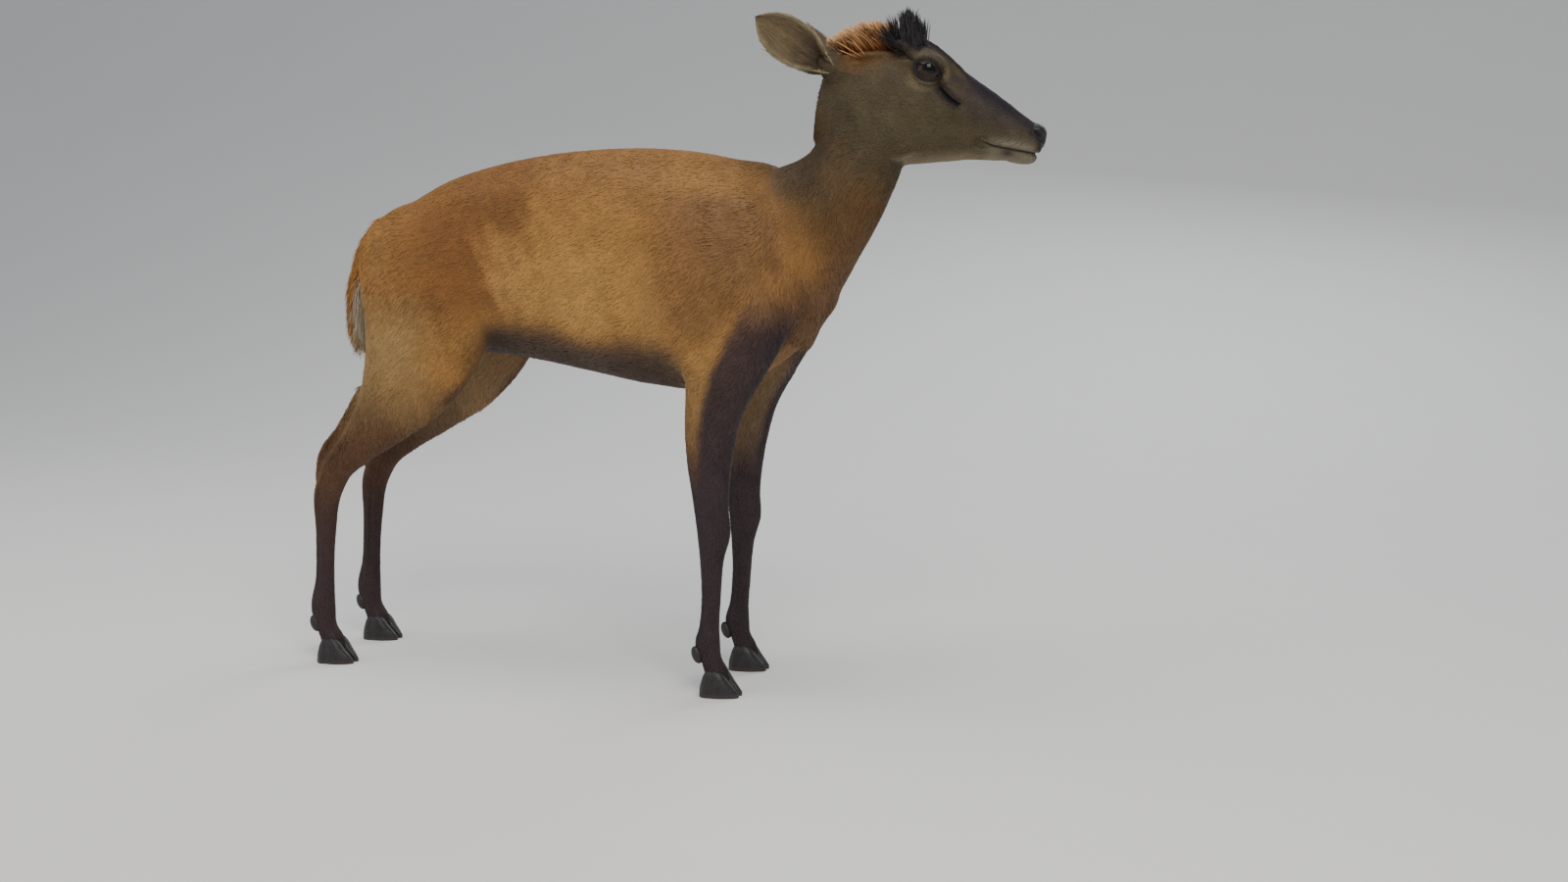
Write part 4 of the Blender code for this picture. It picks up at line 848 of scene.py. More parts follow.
def unwrapSkin(points):
    # Cylinders opened out: the trunk by its reach and the angle round it, the neck and head by
    # theirs, and each leg by its height and the angle round it, every one in a field of its own
    b, h, k = points - shift, headCoords(points), neckReach(points)
    x, y, z = b[:, 0], b[:, 1], b[:, 2]

    def turn(across, rise):
        return np.arctan2(across, -rise) / (2 * math.pi) + 0.5

    place = np.stack([0.02 + 0.46 * ((x + 0.27) / 0.54), 0.02 + 0.96 * turn(y, z - 0.395)], -1)
    neck = np.stack([0.52 + 0.16 * ((k + 0.11) / 0.13),
                     0.52 + 0.46 * turn(y - 0.01, x - 0.25 - 0.6 * (z - 0.50))], -1)
    head = np.stack([0.70 + 0.28 * ((h[:, 0] + 0.04) / 0.25),
                     0.52 + 0.46 * turn(h[:, 1], h[:, 2] - 0.004)], -1)
    place = np.where((k > -0.10)[:, None], neck, place)
    place = np.where((k > 0.022)[:, None], head, place)
    for kind in ("fore", "hind"):
        off = x - legMiddle(b, kind)
        here = (z < 0.30) & ((x > 0) if kind == "fore" else (x < 0))
        for hand in (-1, 1):
            low = 0.02 + 0.12 * ((kind == "hind") * 2 + (hand > 0))
            strip = np.stack([0.52 + 0.46 * (z / 0.31),
                              low + 0.11 * turn(y - hand * pose["stance"], off)], -1)
            place = np.where((here & (np.sign(y) == hand))[:, None], strip, place)
    return np.clip(place, 0.003, 0.997)


# Tufts
def scatter(points, faces, density, seed, *fields):
    # Roots at even steps of the summed area times density, each at a random spot of its triangle,
    # with each field of the corners shared out to the roots
    pick = np.random.default_rng(seed)
    a, b, c = (points[faces[:, i]] for i in range(3))
    area = np.linalg.norm(np.cross(b - a, c - a), axis=1) / 2
    total = np.cumsum(area * density[faces].mean(axis=1))
    count = int(total[-1])
    where = np.searchsorted(total, (np.arange(count) + pick.uniform(0, 1, count)) / count * total[-1])
    where = np.minimum(where, len(faces) - 1)
    r, s = np.sqrt(pick.uniform(0, 1, count))[:, None], pick.uniform(0, 1, count)[:, None]
    shares = [1 - r, r * (1 - s), r * s]
    return [sum((w if field.ndim == 2 else w[:, 0]) * field[faces[where, i]] for i, w in enumerate(shares))
            for field in (points, *fields)]


def weightedArea(points, faces, density):
    # The tufts that scatter would make for a density on the points
    a, b, c = (points[faces[:, i]] for i in range(3))
    return float((np.linalg.norm(np.cross(b - a, c - a), axis=1) / 2 * density[faces].mean(axis=1)).sum())


def tuftShape(seeds, stations=(0.42,), thick=0.30, soft=0.6, settle=0.30, patchSize=0.003):
    # A closed blade of three sides: it leaves the root along the lie, lifted by its angle, settles back
    # by a share of the square of the reach, is widest a little under half way and ends in a point. Its
    # normals lean from its own sides towards the skin's, so that many blades shade as one coat
    root, out, lie = seeds["root"], seeds["out"], seeds["lie"]
    length, width, lift = (seeds[key][:, None] for key in ("length", "width", "lift"))
    side = np.cross(out, lie)
    n = len(root)

    def centre(t):
        rise = np.sin(lift) * (t - settle * t * t) - 0.02 * t
        return root + lie * length * t * np.cos(lift) + out * length * rise

    rings, facing, shade, place = [centre(0.0) - out * 0.0006], [out], [0.0], [(0.5, 0.0)]
    for t in stations:
        wide = (t * (1 - t) * 4) ** 0.5 if len(stations) > 1 else 1.0
        mid, half = centre(t), width / 2 * max(wide, 0.35)
        rings += [mid - side * half, mid + out * half * 2 * thick, mid + side * half]
        facing += [unit(out * soft - side), out, unit(out * soft + side)]
        shade += [t, t, t]
        place += [(0.0, t), (0.5, t), (1.0, t)]
    rings.append(centre(1.0))
    facing.append(unit(out * (soft + 0.2) + lie * 0.4))
    shade.append(1.0)
    place.append((0.5, 1.0))
    last, tip = 1 + 3 * (len(stations) - 1), len(rings) - 1
    faces = [(0, 1, 2), (0, 2, 3), (0, 3, 1), (last, tip, last + 1), (last + 1, tip, last + 2),
             (last + 2, tip, last)]
    for a in range(1, last, 3):
        for i, j in ((0, 1), (1, 2), (2, 0)):
            faces += [(a + i, a + 3 + i, a + 3 + j), (a + i, a + 3 + j, a + j)]
    faces = np.array(faces)
    t = np.array(shade)[None, :, None]
    # A blade is darker at its root, partly from the hair's own banding and partly as painted shade down among
    # the hairs, and takes the tip's colour towards its end
    rootShade = 0.84 + 0.18 * np.minimum(t / 0.5, 1)
    colour = seeds["colour"][:, None] * rootShade * (1 - t**2) + seeds["tip"][:, None] * t**2
    normal = unit(np.stack(facing, 1) * (1 - seeds["even"]) + out[:, None] * seeds["even"])
    allFaces = (faces[None] + (np.arange(n) * len(rings))[:, None, None]).reshape(-1, 3)
    local = (np.array(place)[faces].reshape(1, -1, 2) - 0.5) * patchSize
    patch = (seeds["patch"][:, None] + local).reshape(-1, 2)
    return (np.stack(rings, 1).reshape(-1, 3), allFaces, np.clip(colour, 0, 1).reshape(-1, 3),
            normal.reshape(-1, 3), patch)


def plant(name, seeds, finish, slot, limit=196000, **shape):
    # Seeds in pieces of fewer triangles than the limit, each one mesh
    per = 6 * len(shape.get("stations", (0.42,)))
    size = limit // per
    count = math.ceil(len(seeds["root"]) / size)
    made = []
    for part in range(count):
        own = {k: (v[part::count] if isinstance(v, np.ndarray) else v) for k, v in seeds.items()}
        points, faces, colour, normal, patch = tuftShape(own, **shape)
        piece = pieceFrom(name if count == 1 else f"{name}_{part + 1}", points, faces, finish,
                          {"coatColour": colour}, patch, normal)
        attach(piece, "root")
        made.append(piece)
    print(name, "planted:", len(seeds["root"]), "tufts in", count, "pieces")
    return made


def coatFinish(name, fixed, streak=0.16):
    # Colour = the kept marking, varied by fine and by broad noise; the bump is fine noise too
    f = Finish(name, fixed)
    own = f.kept("coatColour")
    fine = f.span(f.noise(f.place(), 900, 2), 0.3, 0.7, 1 - streak, 1 + streak)
    broad = f.span(f.noise(f.place(), 34, 3), 0.3, 0.7, 0.93, 1.07)
    colour = f.mix(1.0, own, f.grey(fine * broad), "MULTIPLY")
    rough = f.span(f.noise(f.place(), 120, 2), 0.3, 0.7, fixed["Roughness"] - 0.06, fixed["Roughness"] + 0.08)
    return f.feed(colour=colour, roughness=rough, normal=f.bump(fine, 0.25, 0.0004))


hairGloss = {"Roughness": 0.52, "Specular IOR Level": 0.24, "Sheen Weight": 0.03, "Sheen Roughness": 0.4}
skinFinish = coatFinish("coat_ground", {**hairGloss, "Roughness": 0.72, "Specular IOR Level": 0.2}, 0.25)
hairFinish = coatFinish("coat_hair", hairGloss)

skinWork = pieceFrom("skin", skinPoints, skinFaces, skinFinish)
skinNormals = arraysOf(skinWork)[2]
bpy.data.objects.remove(skinWork)
# The skin under the coat is painted at 0.88 of the hair's colour, as shade among the roots
skin = pieceFrom("skin", skinPoints, skinFaces, skinFinish,
                 {"coatColour": markingsAndPaintedLight(skinPoints, skinNormals) * 0.88})
fleshNodes = ["torso", "neck", "head"] + [f"{leg}_{part}" for leg in legs for part in ("upper", "lower")]
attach(skin, "root")
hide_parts(*fleshNodes)
print("skin done:", len(skinFaces), "triangles")

coat = {  # tufts per square metre, length, width, lift from the skin in degrees
    "trunk": (272000, 0.0115, 0.00151, 6), "neck": (380000, 0.0105, 0.00130, 6),
    "head": (980000, 0.0054, 0.00088, 8), "muzzle": (1400000, 0.0031, 0.00064, 7),
    "thigh": (360000, 0.0095, 0.00125, 7), "shank": (720000, 0.0046, 0.00090, 6)}
# Extra length below the belly, disorder of the lie, share of pale tips, how much a tuft shades as the
# skin does, and how far it settles back
coatLook = {"belly": 0.35, "disorder": 0.13, "paleShare": 0.14, "even": 0.62, "settle": 0.82}


def coatShares(points):
    # Share of each part of the coat at a point, from smooth steps along the neck, face and legs
    b, h, k = points - shift, headCoords(points), neckReach(points)
    head = ease(k, 0.005, 0.045)
    muzzle = head * ease(h[:, 0], 0.095, 0.150)
    neck = ease(k, -0.09, -0.04) * (1 - head)
    rest = 1 - head - neck
    shank = rest * (1 - ease(b[:, 2], 0.15, 0.25))
    thigh = (rest - shank) * (1 - ease(b[:, 2], 0.28, 0.36))
    return {"trunk": rest - shank - thigh, "neck": neck, "head": head - muzzle, "muzzle": muzzle,
            "thigh": thigh, "shank": shank}


def bareness(points):
    # 1 where no hair grows: the opened eyes, the gland's slit, the mouth's line and the nose
    h = headCoords(points)
    measure, radius = lidMeasure(h)[:2]
    across, share = slitMeasure(h)
    slit = bell(across, 0.0022) * ease(share, -0.05, 0.1) * (1 - ease(share, 0.9, 1.05))
    slit = slit * (np.abs(h[:, 1]) > 0.01)
    mouth = bell(h[:, 2] - mouthHeight(h[:, 0]), 0.0010) * ease(h[:, 0], 0.15, 0.158)
    lids = (1 - ease(measure, 1.08, 1.25)) * (radius < 0.02)
    foot = 1 - ease(points[:, 2], 0.014, 0.019)
    return np.clip(lids + slit + mouth + noseMask(points) + foot, 0, 1)


def makeCoat():
    # Roots all over the skin but for its bare places. Each takes the density, length, width and lift of
    # the parts of the coat by their shares there
    shares = coatShares(skinPoints)
    bare = 1 - bareness(skinPoints)
    density = sum(coat[key][0] * share for key, share in shares.items()) * np.where(bare > 0.5, bare, 0)
    roots, out = scatter(skinPoints, skinFaces, density, 31, skinNormals)
    out = unit(out)
    pick = np.random.default_rng(32)
    n = len(roots)
    shares = coatShares(roots)
    length, width, lift = (sum(coat[key][i] * share for key, share in shares.items()) for i in (1, 2, 3))
    b, h = roots - shift, headCoords(roots)
    under = ease(-out[:, 2], 0.3, 0.8) * (b[:, 0] > -0.16) * (shares["trunk"] + shares["thigh"])
    length = length * (1 + coatLook["belly"] * under)
    near = ease(np.linalg.norm(eyeFrame(h), axis=1), 0.014, 0.028)
    face = shares["head"] + shares["muzzle"] > 0.5
    length = length * np.where(face, (0.45 + 0.55 * near) * (1 - 0.3 * ease(h[:, 0], 0.180, 0.198)), 1)
    width = width * np.where(face, 0.6 + 0.4 * near, 1)
    jitter = pick.normal(0, coatLook["disorder"], n)[:, None]
    lie = lieOf(roots, out)
    lie = unit(lie * np.cos(jitter) + np.cross(out, lie) * np.sin(jitter))
    colour = markingsAndPaintedLight(roots, out) * pick.uniform(0.87, 1.13, (n, 1)) * (1 + pick.normal(0, 0.025, (n, 3)))
    pale = (pick.uniform(0, 1, n) < coatLook["paleShare"])[:, None]
    tip = np.where(pale, colour * 1.30 + 0.01, colour * 1.06)
    seeds = {"root": roots, "out": out, "lie": lie, "length": length * pick.uniform(0.75, 1.25, n),
             "width": width * pick.uniform(0.8, 1.2, n), "lift": np.radians(lift * pick.uniform(0.5, 1.6, n)),
             "colour": colour, "tip": tip, "even": coatLook["even"], "patch": unwrapSkin(roots)}
    groups = {"coatTrunk": shares["trunk"] + shares["thigh"] + shares["shank"] > 0.5,
              "coatNeck": shares["neck"] >= 0.5}
    groups["coatHead"] = ~groups["coatTrunk"] & ~groups["coatNeck"]
    for name, mask in groups.items():
        own = {k: (v[mask] if isinstance(v, np.ndarray) else v) for k, v in seeds.items()}
        slot = "rufous_coat" if name == "coatTrunk" else "grey_brown_coat"
        plant(name, own, hairFinish, slot, settle=coatLook["settle"])


makeCoat()


# Eyes and lids
def outward(points, faces):
    # Turns the triangles round if the volume that they close is negative
    a, b, c = (points[faces[:, i]] for i in range(3))
    return faces if (a * np.cross(b, c)).sum() > 0 else faces[:, ::-1].copy()


def fromEyeFrame(off, hand):
    # The way back from eyeFrame
    c, s = math.cos(eye["tilt"]), math.sin(eye["tilt"])
    along, up = off[..., 0] * c + off[..., 1] * s, -off[..., 0] * s + off[..., 1] * c
    return onHead(np.stack([eye["along"] + along, hand * (eye["out"] + off[..., 2]), eye["up"] + up], -1))


def eyeFinish():
    # Iris by distance from the pupil's middle, with fibres of noise round it; the pupil is a level oval
    f = Finish("eye_glass", {"Roughness": 0.12, "Specular IOR Level": 0.12, "Coat Roughness": 0.02,
                             "IOR": 1.38, "Coat IOR": 1.34})
    x, y = f.kept("across", "Fac"), f.kept("rise", "Fac")
    far = (x * x + y * y) ** 0.5
    fibre = f.noise(f.node("ShaderNodeCombineXYZ", {},
                    {0: x / (far + 0.05) * 5.0, 1: y / (far + 0.05) * 5.0, 2: far * 1.5}), 4.0, 4)
    iris = f.mix(f.span(fibre, 0.35, 0.7), (0.013, 0.0065, 0.004), (0.044, 0.020, 0.009))
    iris = f.mix(f.span(far, 0.55, 0.76), iris, (0.007, 0.0045, 0.004))
    pupil = ((x * 2.1) ** 2.0 + (y * 3.4) ** 2.0) ** 0.5
    colour = f.mix(f.span(pupil, 0.92, 1.08), (0.004, 0.004, 0.006), iris)
    coat = f.span(far, 0.95, 1.0, 0.62, 0.45)
    return f.feed(colour=colour, coat=coat)


def lidFinish():
    # Moist dark skin: two sizes of noise in its colour, its gloss and its bump
    f = Finish("lid_leather", {"Specular IOR Level": 0.3})
    fine, broad = f.noise(f.place(), 1400, 3), f.noise(f.place(), 260, 2)
    colour = f.mix(f.span(broad, 0.35, 0.65), (0.007, 0.006, 0.006), (0.017, 0.012, 0.011))
    return f.feed(colour=colour, roughness=f.span(fine, 0.3, 0.7, 0.36, 0.55),
                  normal=f.bump(fine, 0.35, 0.0003))


def makeEyeball(side, hand, finish):
    # A ball whose reach is radius * (1 + bulge * exp(-(angle / width) ** 2)) of the angle from its axis
    cols = 64
    axis = unit(np.array([0.20, hand * 0.96, 0.10]))
    level = unit(np.array([1.0, 0, -0.25]) - axis * (axis[0] - 0.25 * axis[2]))
    rise = np.cross(axis, level) * hand
    p = np.linspace(0.02, math.pi - 0.02, 44)[:, None]
    a = np.arange(cols) * 2 * math.pi / cols
    reach = eye["radius"] * (1 + 0.075 * np.exp(-((p / 0.60) ** 2)))
    x, y, z = np.sin(p) * np.cos(a), np.sin(p) * np.sin(a), np.cos(p) * np.ones(cols)
    ball = reach[..., None] * (x[..., None] * level + y[..., None] * rise + z[..., None] * axis)
    points, faces = closedGrid(onHead(ball + np.array([eye["along"], hand * eye["out"], eye["up"]])))
    across = np.concatenate([x.ravel(), [0, 0]])
    up = np.concatenate([y.ravel(), [0, 0]])
    behind = np.concatenate([(z < 0).ravel(), [False, True]])
    piece = pieceFrom("eyeball_" + side, points, outward(points, faces), finish,
                      {"across": np.where(behind, 2.0, across), "rise": np.where(behind, 2.0, up)})
    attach(piece, "root")
    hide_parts("eye_" + side)


def lidLine(t):
    # Rays from the eye's middle to the edge of the lids, |a| ** 1.7 + |b| ** 1.7 = 1 on the eyeball
    power = 2 / 1.7
    long, tall = opening(np.cos(t), np.sin(t))
    path = np.stack([long * np.sign(np.cos(t)) * np.abs(np.cos(t)) ** power,
                     tall * np.sign(np.sin(t)) * np.abs(np.sin(t)) ** power], -1)
    out = np.sqrt(np.maximum(eye["radius"] ** 2 - (path**2).sum(axis=1), 0))
    return unit(np.concatenate([path, out[:, None]], axis=1))


def makeLidRim(side, hand, finish):
    # A small oval carried round the edge of the lids
    rings, cols = 96, 14
    ray = lidLine(np.arange(rings) * 2 * math.pi / rings)
    ahead = unit(np.roll(ray, -1, axis=0) - np.roll(ray, 1, axis=0))
    across = np.cross(ahead, ray)
    q = np.arange(cols) * 2 * math.pi / cols
    middle = ray * (eye["radius"] + 0.0003)
    ring = (middle[:, None] + ray[:, None] * (np.cos(q) * 0.00060)[:, None]
            + across[:, None] * (np.sin(q) * 0.00100)[:, None])
    points = fromEyeFrame(ring, hand).reshape(-1, 3)
    faces = gridFaces(rings + 1, cols) % (rings * cols)
    rim = pieceFrom("lidrim_" + side, points, outward(points, faces), finish)
    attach(rim, "root")


lash = {"count": 64, "length": 0.0068, "width": 0.00036, "lift": 48}


def makeLashes(side, hand):
    # They stand on the upper lid, longest over its middle, and sweep up and out
    pick = np.random.default_rng(81)
    n = lash["count"]
    t = np.linspace(0.05, 0.95, n) * math.pi + pick.normal(0, 0.012, n)
    out = lidLine(t)
    away = unit(np.stack([0.6 * np.cos(t), np.sin(t) + 0.25, 0 * t], -1) + 0.10 * pick.normal(0, 1, (n, 3)))
    lie = unit(away - out * (away * out).sum(axis=1, keepdims=True))
    origin = fromEyeFrame(np.zeros(3), hand)
    root = fromEyeFrame(out * (eye["radius"] + 0.0011), hand)
    out, lie = (unit(fromEyeFrame(way, hand) - origin) for way in (out, lie))
    dark = np.tile(np.array(shades["dark"]) * 0.7, (n, 1))
    length = lash["length"] * (0.55 + 0.45 * np.sin(t)) * pick.uniform(0.8, 1.1, n)
    lift = np.radians(lash["lift"] + pick.normal(0, 6, n))
    seeds = {"root": root, "out": out, "lie": lie, "length": length, "width": np.full(n, lash["width"]),
             "lift": lift, "colour": dark, "tip": dark, "even": 0.2, "patch": unwrapSkin(root)}
    plant("lashes_" + side, seeds, hairFinish, "dark_coat", stations=(0.3, 0.7), thick=0.5)


glass, leather = eyeFinish(), lidFinish()
for side, hand in sides.items():
    makeEyeball(side, hand, glass)
    makeLidRim(side, hand, leather)
    makeLashes(side, hand)
print("eyes done")


# Nose
def noseFinish():
    # Pebbled leather: round cells of a Voronoi pattern with dark grooves, wet on their tops
    f = Finish("nose_pad_leather", {"Specular IOR Level": 0.42})
    cells = f.node("ShaderNodeTexVoronoi", {"feature": "DISTANCE_TO_EDGE"},
                   {"Vector": f.place(), "Scale": 900})
    pebble = f.span(cells, 0.0, 0.28)
    fine = f.noise(f.place(), 2400, 2)
    colour = f.mix(pebble, (0.009, 0.008, 0.009), (0.018, 0.015, 0.016))
    return f.feed(colour=colour, roughness=f.span(fine, 0.3, 0.7, 0.36, 0.50),
                  normal=f.bump(pebble, 0.35, 0.0002))


def makeNose():
    # The skin's own triangles under the leather, made finer and lifted by the leather's thickness
    mask = noseMask(skinPoints)
    faces = skinFaces[mask[skinFaces].mean(axis=1) > 0.12]
    used, faces = np.unique(faces, return_inverse=True)
    faces = faces.reshape(-1, 3)
    points, faces, normals = changed(skinPoints[used], faces, "SUBSURF", {"levels": 1, "render_levels": 1})
    rise = 0.0013 * ease(noseMask(points), 0.02, 0.5) - 0.0006 + 0.00012 * wobble(points, 0.005, 41)
    points = points + normals * rise[:, None]
    nose = pieceFrom("nose", points, faces, noseFinish())
    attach(nose, "root")
    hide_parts("nose_pad")


makeNose()
print("nose done")

# Ears
ear = {"length": 0.082, "width": 0.050, "along": -0.0040, "up": 0.0220, "out": 0.0230,
       "inner": (0.210, 0.155, 0.085), "innerDeepShade": (0.085, 0.054, 0.038), "rim": (0.280, 0.225, 0.135),
       "back": (0.092, 0.068, 0.036), "backTip": (0.052, 0.038, 0.025),
       "tuftsBehind": 850000, "tuftsInside": 240000, "tuftsAtRim": 700000}


def makeEar(side, hand):
    # A cup: each cross-section is an arc of radius half / curl through angles -curl to curl, run back
    # along its outer side at the ear's thickness, which thins to the rim
    rows = smoothRows([(u * ear["length"], 0, 0, w, c) for u, w, c in (
        (0, 0.56, 2.55), (0.12, 0.68, 2.10), (0.3, 0.92, 1.50), (0.5, 1.0, 1.18), (0.7, 0.90, 1.02),
        (0.85, 0.66, 0.92), (0.94, 0.40, 0.85), (1, 0.10, 0.80))], 56)
    up = rows[:, 0:1] / ear["length"]
    half, curl = np.maximum(rows[:, 3:4], 0.04) * ear["width"] / 2, rows[:, 4:5]
    steps = 41
    arc = np.concatenate([np.linspace(-1, 1, steps), np.linspace(1, -1, steps)])
    outer = np.concatenate([np.zeros(steps), np.ones(steps)])
    angle = curl * arc
    thick = (0.0006 + 0.0018 * np.sqrt(np.maximum(1 - arc**2, 0)) * (1 - 0.55 * up)) * outer
    fold = 0.0011 * np.cos(arc * 3.2 * math.pi) * bell(arc, 0.6) * np.sin(up * math.pi) * (1 - outer)
    radius = half / curl
    x = radius * (1 - np.cos(angle)) - 0.006 * np.sin(up * math.pi) + (fold - thick) * np.cos(angle)
    y = radius * np.sin(angle) - (fold - thick) * np.sin(angle)
    z = up * ear["length"] - 0.002 * arc**2
    length = unit(np.array([-0.86, hand * 0.36, 0.355]))
    opening = np.array([0.20, hand * 0.93, -0.15])
    opening = unit(opening - length * (opening @ length))
    width = np.cross(length, opening)
    local = x[..., None] * opening + y[..., None] * width + z[..., None] * length
    grid = onHead(local + np.array([ear["along"], hand * ear["out"], ear["up"]]))
    points, faces = closedGrid(grid)
    faces = outward(points, faces)
    apart = np.sign(arc)[None, :, None] * np.gradient(grid, axis=1) * outer[None, :, None]
    lie = np.gradient(grid, axis=0) + 0.25 * apart
    lie = np.concatenate([unit(lie).reshape(-1, 3), unit(lie[[0, -1]].mean(axis=1))])

    def spread(value):  # one value for each point of the grid and for its two poles
        value = value + 0 * x
        return np.concatenate([value.ravel(), [value[0].mean(), value[-1].mean()]])

    reach, edgeward, back = spread(up), spread(np.abs(arc)), spread(outer)
    grain = wobble(points, 0.012, 51)
    # Inside, the cup darkens towards its base: darker bare skin, and painted shade deep in the cup
    inner = between(ear["innerDeepShade"], ear["inner"], ease(reach + 0.06 * grain, 0.10, 0.55))
    inner = between(inner, ear["rim"], ease(edgeward + 0.05 * grain, 0.72, 0.98))
    behind = between(ear["back"], ear["backTip"], ease(reach, 0.6, 1.0))
    behind = between(behind, ear["rim"], 0.8 * ease(edgeward, 0.88, 1.0))
    colour = np.where(back[:, None] > 0.5, behind, inner)
    piece = pieceFrom("earcup_" + side, points, faces, skinFinish, {"coatColour": colour * 0.85})
    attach(piece, "root")
    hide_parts("ear_" + side)
    normals = arraysOf(piece)[2]
    patch = np.stack([0.25 * (spread(arc) + 1) + 0.02 + 0.5 * back * 0.94, 0.05 + 0.9 * reach], -1)
    within = ear["tuftsInside"] + ear["tuftsAtRim"] * ease(edgeward, 0.65, 0.95)
    density = np.where(back > 0.5, ear["tuftsBehind"], within) * (reach > 0.03)
    roots, out, lie, colour, patch, reach, edgeward, back = scatter(
        points, faces, density, 52, normals, lie, colour, patch, reach, edgeward, back)
    pick = np.random.default_rng(53)
    n = len(roots)
    out = unit(out)
    lie = unit(lie - out * (lie * out).sum(axis=1, keepdims=True) + 0.18 * pick.normal(0, 1, (n, 3)))
    lie = unit(lie - out * (lie * out).sum(axis=1, keepdims=True))
    inside = back < 0.5
    size = np.where(inside, 0.0085 + 0.005 * ease(edgeward, 0.6, 0.9) * (1 - ease(reach, 0.6, 0.9)), 0.0050)
    shade = colour * pick.uniform(0.75, 1.25, (n, 1))
    size = size * pick.uniform(0.6, 1.2, n) * (1 - 0.45 * ease(reach, 0.75, 1.0))
    wide = np.where(inside, 0.0007, 0.0010) * pick.uniform(0.8, 1.2, n)
    lift = np.radians(np.where(inside, 16, 9) * pick.uniform(0.5, 1.6, n))
    seeds = {"root": roots, "out": out, "lie": lie, "length": size, "width": wide, "lift": lift,
             "colour": shade, "tip": shade * 1.2, "even": 0.2, "patch": patch}
    plant("coatEar_" + side, seeds, hairFinish, "ear_skin", settle=0.5, soft=0.2)


for side, hand in sides.items():
    makeEar(side, hand)


# Tufts of the crown and of the knobs over the eyes
plumes = {  # way: back, across, up; spread: added to it for each metre from the middle, along and across
    # The crown's tips are pale orange, brightened further as a painted highlight
    "crown": {"count": 2600, "length": 0.0425, "width": 0.0014, "root": (0.270, 0.098, 0.024),
              "tip": (0.800, 0.460, 0.210), "way": (-0.80, 0, 0.75), "spread": (6, 14),
              "fore": 0.045, "clump": 0.22},
    "knob": {"count": 900, "length": 0.0350, "width": 0.0012, "root": (0.016, 0.013, 0.015),
             "tip": (0.030, 0.025, 0.030), "way": (-0.26, 0, 0.95), "spread": (-20, -24),
             "fore": 0.070, "clump": 0.13},
    "whisker": {"count": 40, "length": 0.0200, "width": 0.00034, "root": (0.012, 0.010, 0.010),
                "tip": (0.035, 0.030, 0.026), "way": (-0.35, 0, -0.25), "spread": (0, 55),
                "fore": 0.175, "clump": 0.10}}


def makePlume(name, look, mask, centre, slot, seed, replaced):
    # Long blades where the mask says. All stand much the same way, spread from their middle or drawn to
    # it and gathered in clumps by noise, so those at the sides lie along the skin
    share = look["count"] / weightedArea(skinPoints, skinFaces, mask)
    roots, out = scatter(skinPoints, skinFaces, mask * share, seed, skinNormals)
    out = unit(out)
    pick = np.random.default_rng(seed + 1)
    n = len(roots)
    h = headCoords(roots)
    way = np.array(look["way"]) + (h - np.array([*centre, 0])) * np.array([*look["spread"], 0])
    clump = np.stack([wobble(roots, 0.011, seed + 2 + i) for i in range(3)], -1) * look["clump"]
    way = unit(way @ headTurnMatrix.T + clump + 0.07 * pick.normal(0, 1, (n, 3)))
    rise = np.clip((way * out).sum(axis=1), 0.30, 0.99)
    lie = unit(way - out * (way * out).sum(axis=1, keepdims=True))
    colour = np.array(look["root"]) * pick.uniform(0.7, 1.3, (n, 1))
    tip = np.array(look["tip"]) * pick.uniform(0.7, 1.2, (n, 1))
    tall = 0.62 + 0.38 * ease(h[:, 0], look["fore"] - 0.05, look["fore"])
    length = look["length"] * tall * pick.uniform(0.55, 1.1, n)
    width = look["width"] * pick.uniform(0.7, 1.2, n)
    seeds = {"root": roots, "out": out, "lie": lie, "length": length, "width": width,
             "lift": np.arcsin(rise), "colour": colour, "tip": tip, "even": 0.12, "patch": unwrapSkin(roots)}
    made = plant(name, seeds, hairFinish, slot, stations=(0.2, 0.5, 0.8), thick=0.4, soft=0.15)
    if replaced:
        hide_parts(replaced)


headAt = headCoords(skinPoints)
crownMask = ease(-np.hypot((headAt[:, 0] - 0.026) / 0.037, headAt[:, 1] / 0.022), -1.0, -0.8)
crownMask = crownMask * ease(headAt[:, 2], 0.032, 0.040)
makePlume("plumeCrown", plumes["crown"], crownMask, (0.022, 0), "orange_tuft", 61, "crown_tuft")
for side, hand in sides.items():
    mask = (1 - ease(knobReach(headAt), 0.8, 1.0)) * (headAt[:, 1] * hand > 0)
    makePlume("plumeKnob_" + side, plumes["knob"], mask, (knob["along"], hand * knob["out"]),
              "dark_coat", 63 + hand, "knob_tuft_" + side)

lipSide = ease(headAt[:, 0], 0.158, 0.166) * (1 - ease(headAt[:, 0], 0.186, 0.192))
lipSide = lipSide * (np.abs(headAt[:, 1]) > 0.010)
lipSide = lipSide * bell(headAt[:, 2] - mouthHeight(headAt[:, 0]) - 0.007, 0.006)
makePlume("whiskers", plumes["whisker"], lipSide, (0.175, 0), "grey_brown_coat", 68, None)

# Tail
tail = {"count": 5600, "length": 0.030, "width": 0.0013, "lift": 12,
        "upper": (0.360, 0.160, 0.036), "under": (0.540, 0.460, 0.350)}


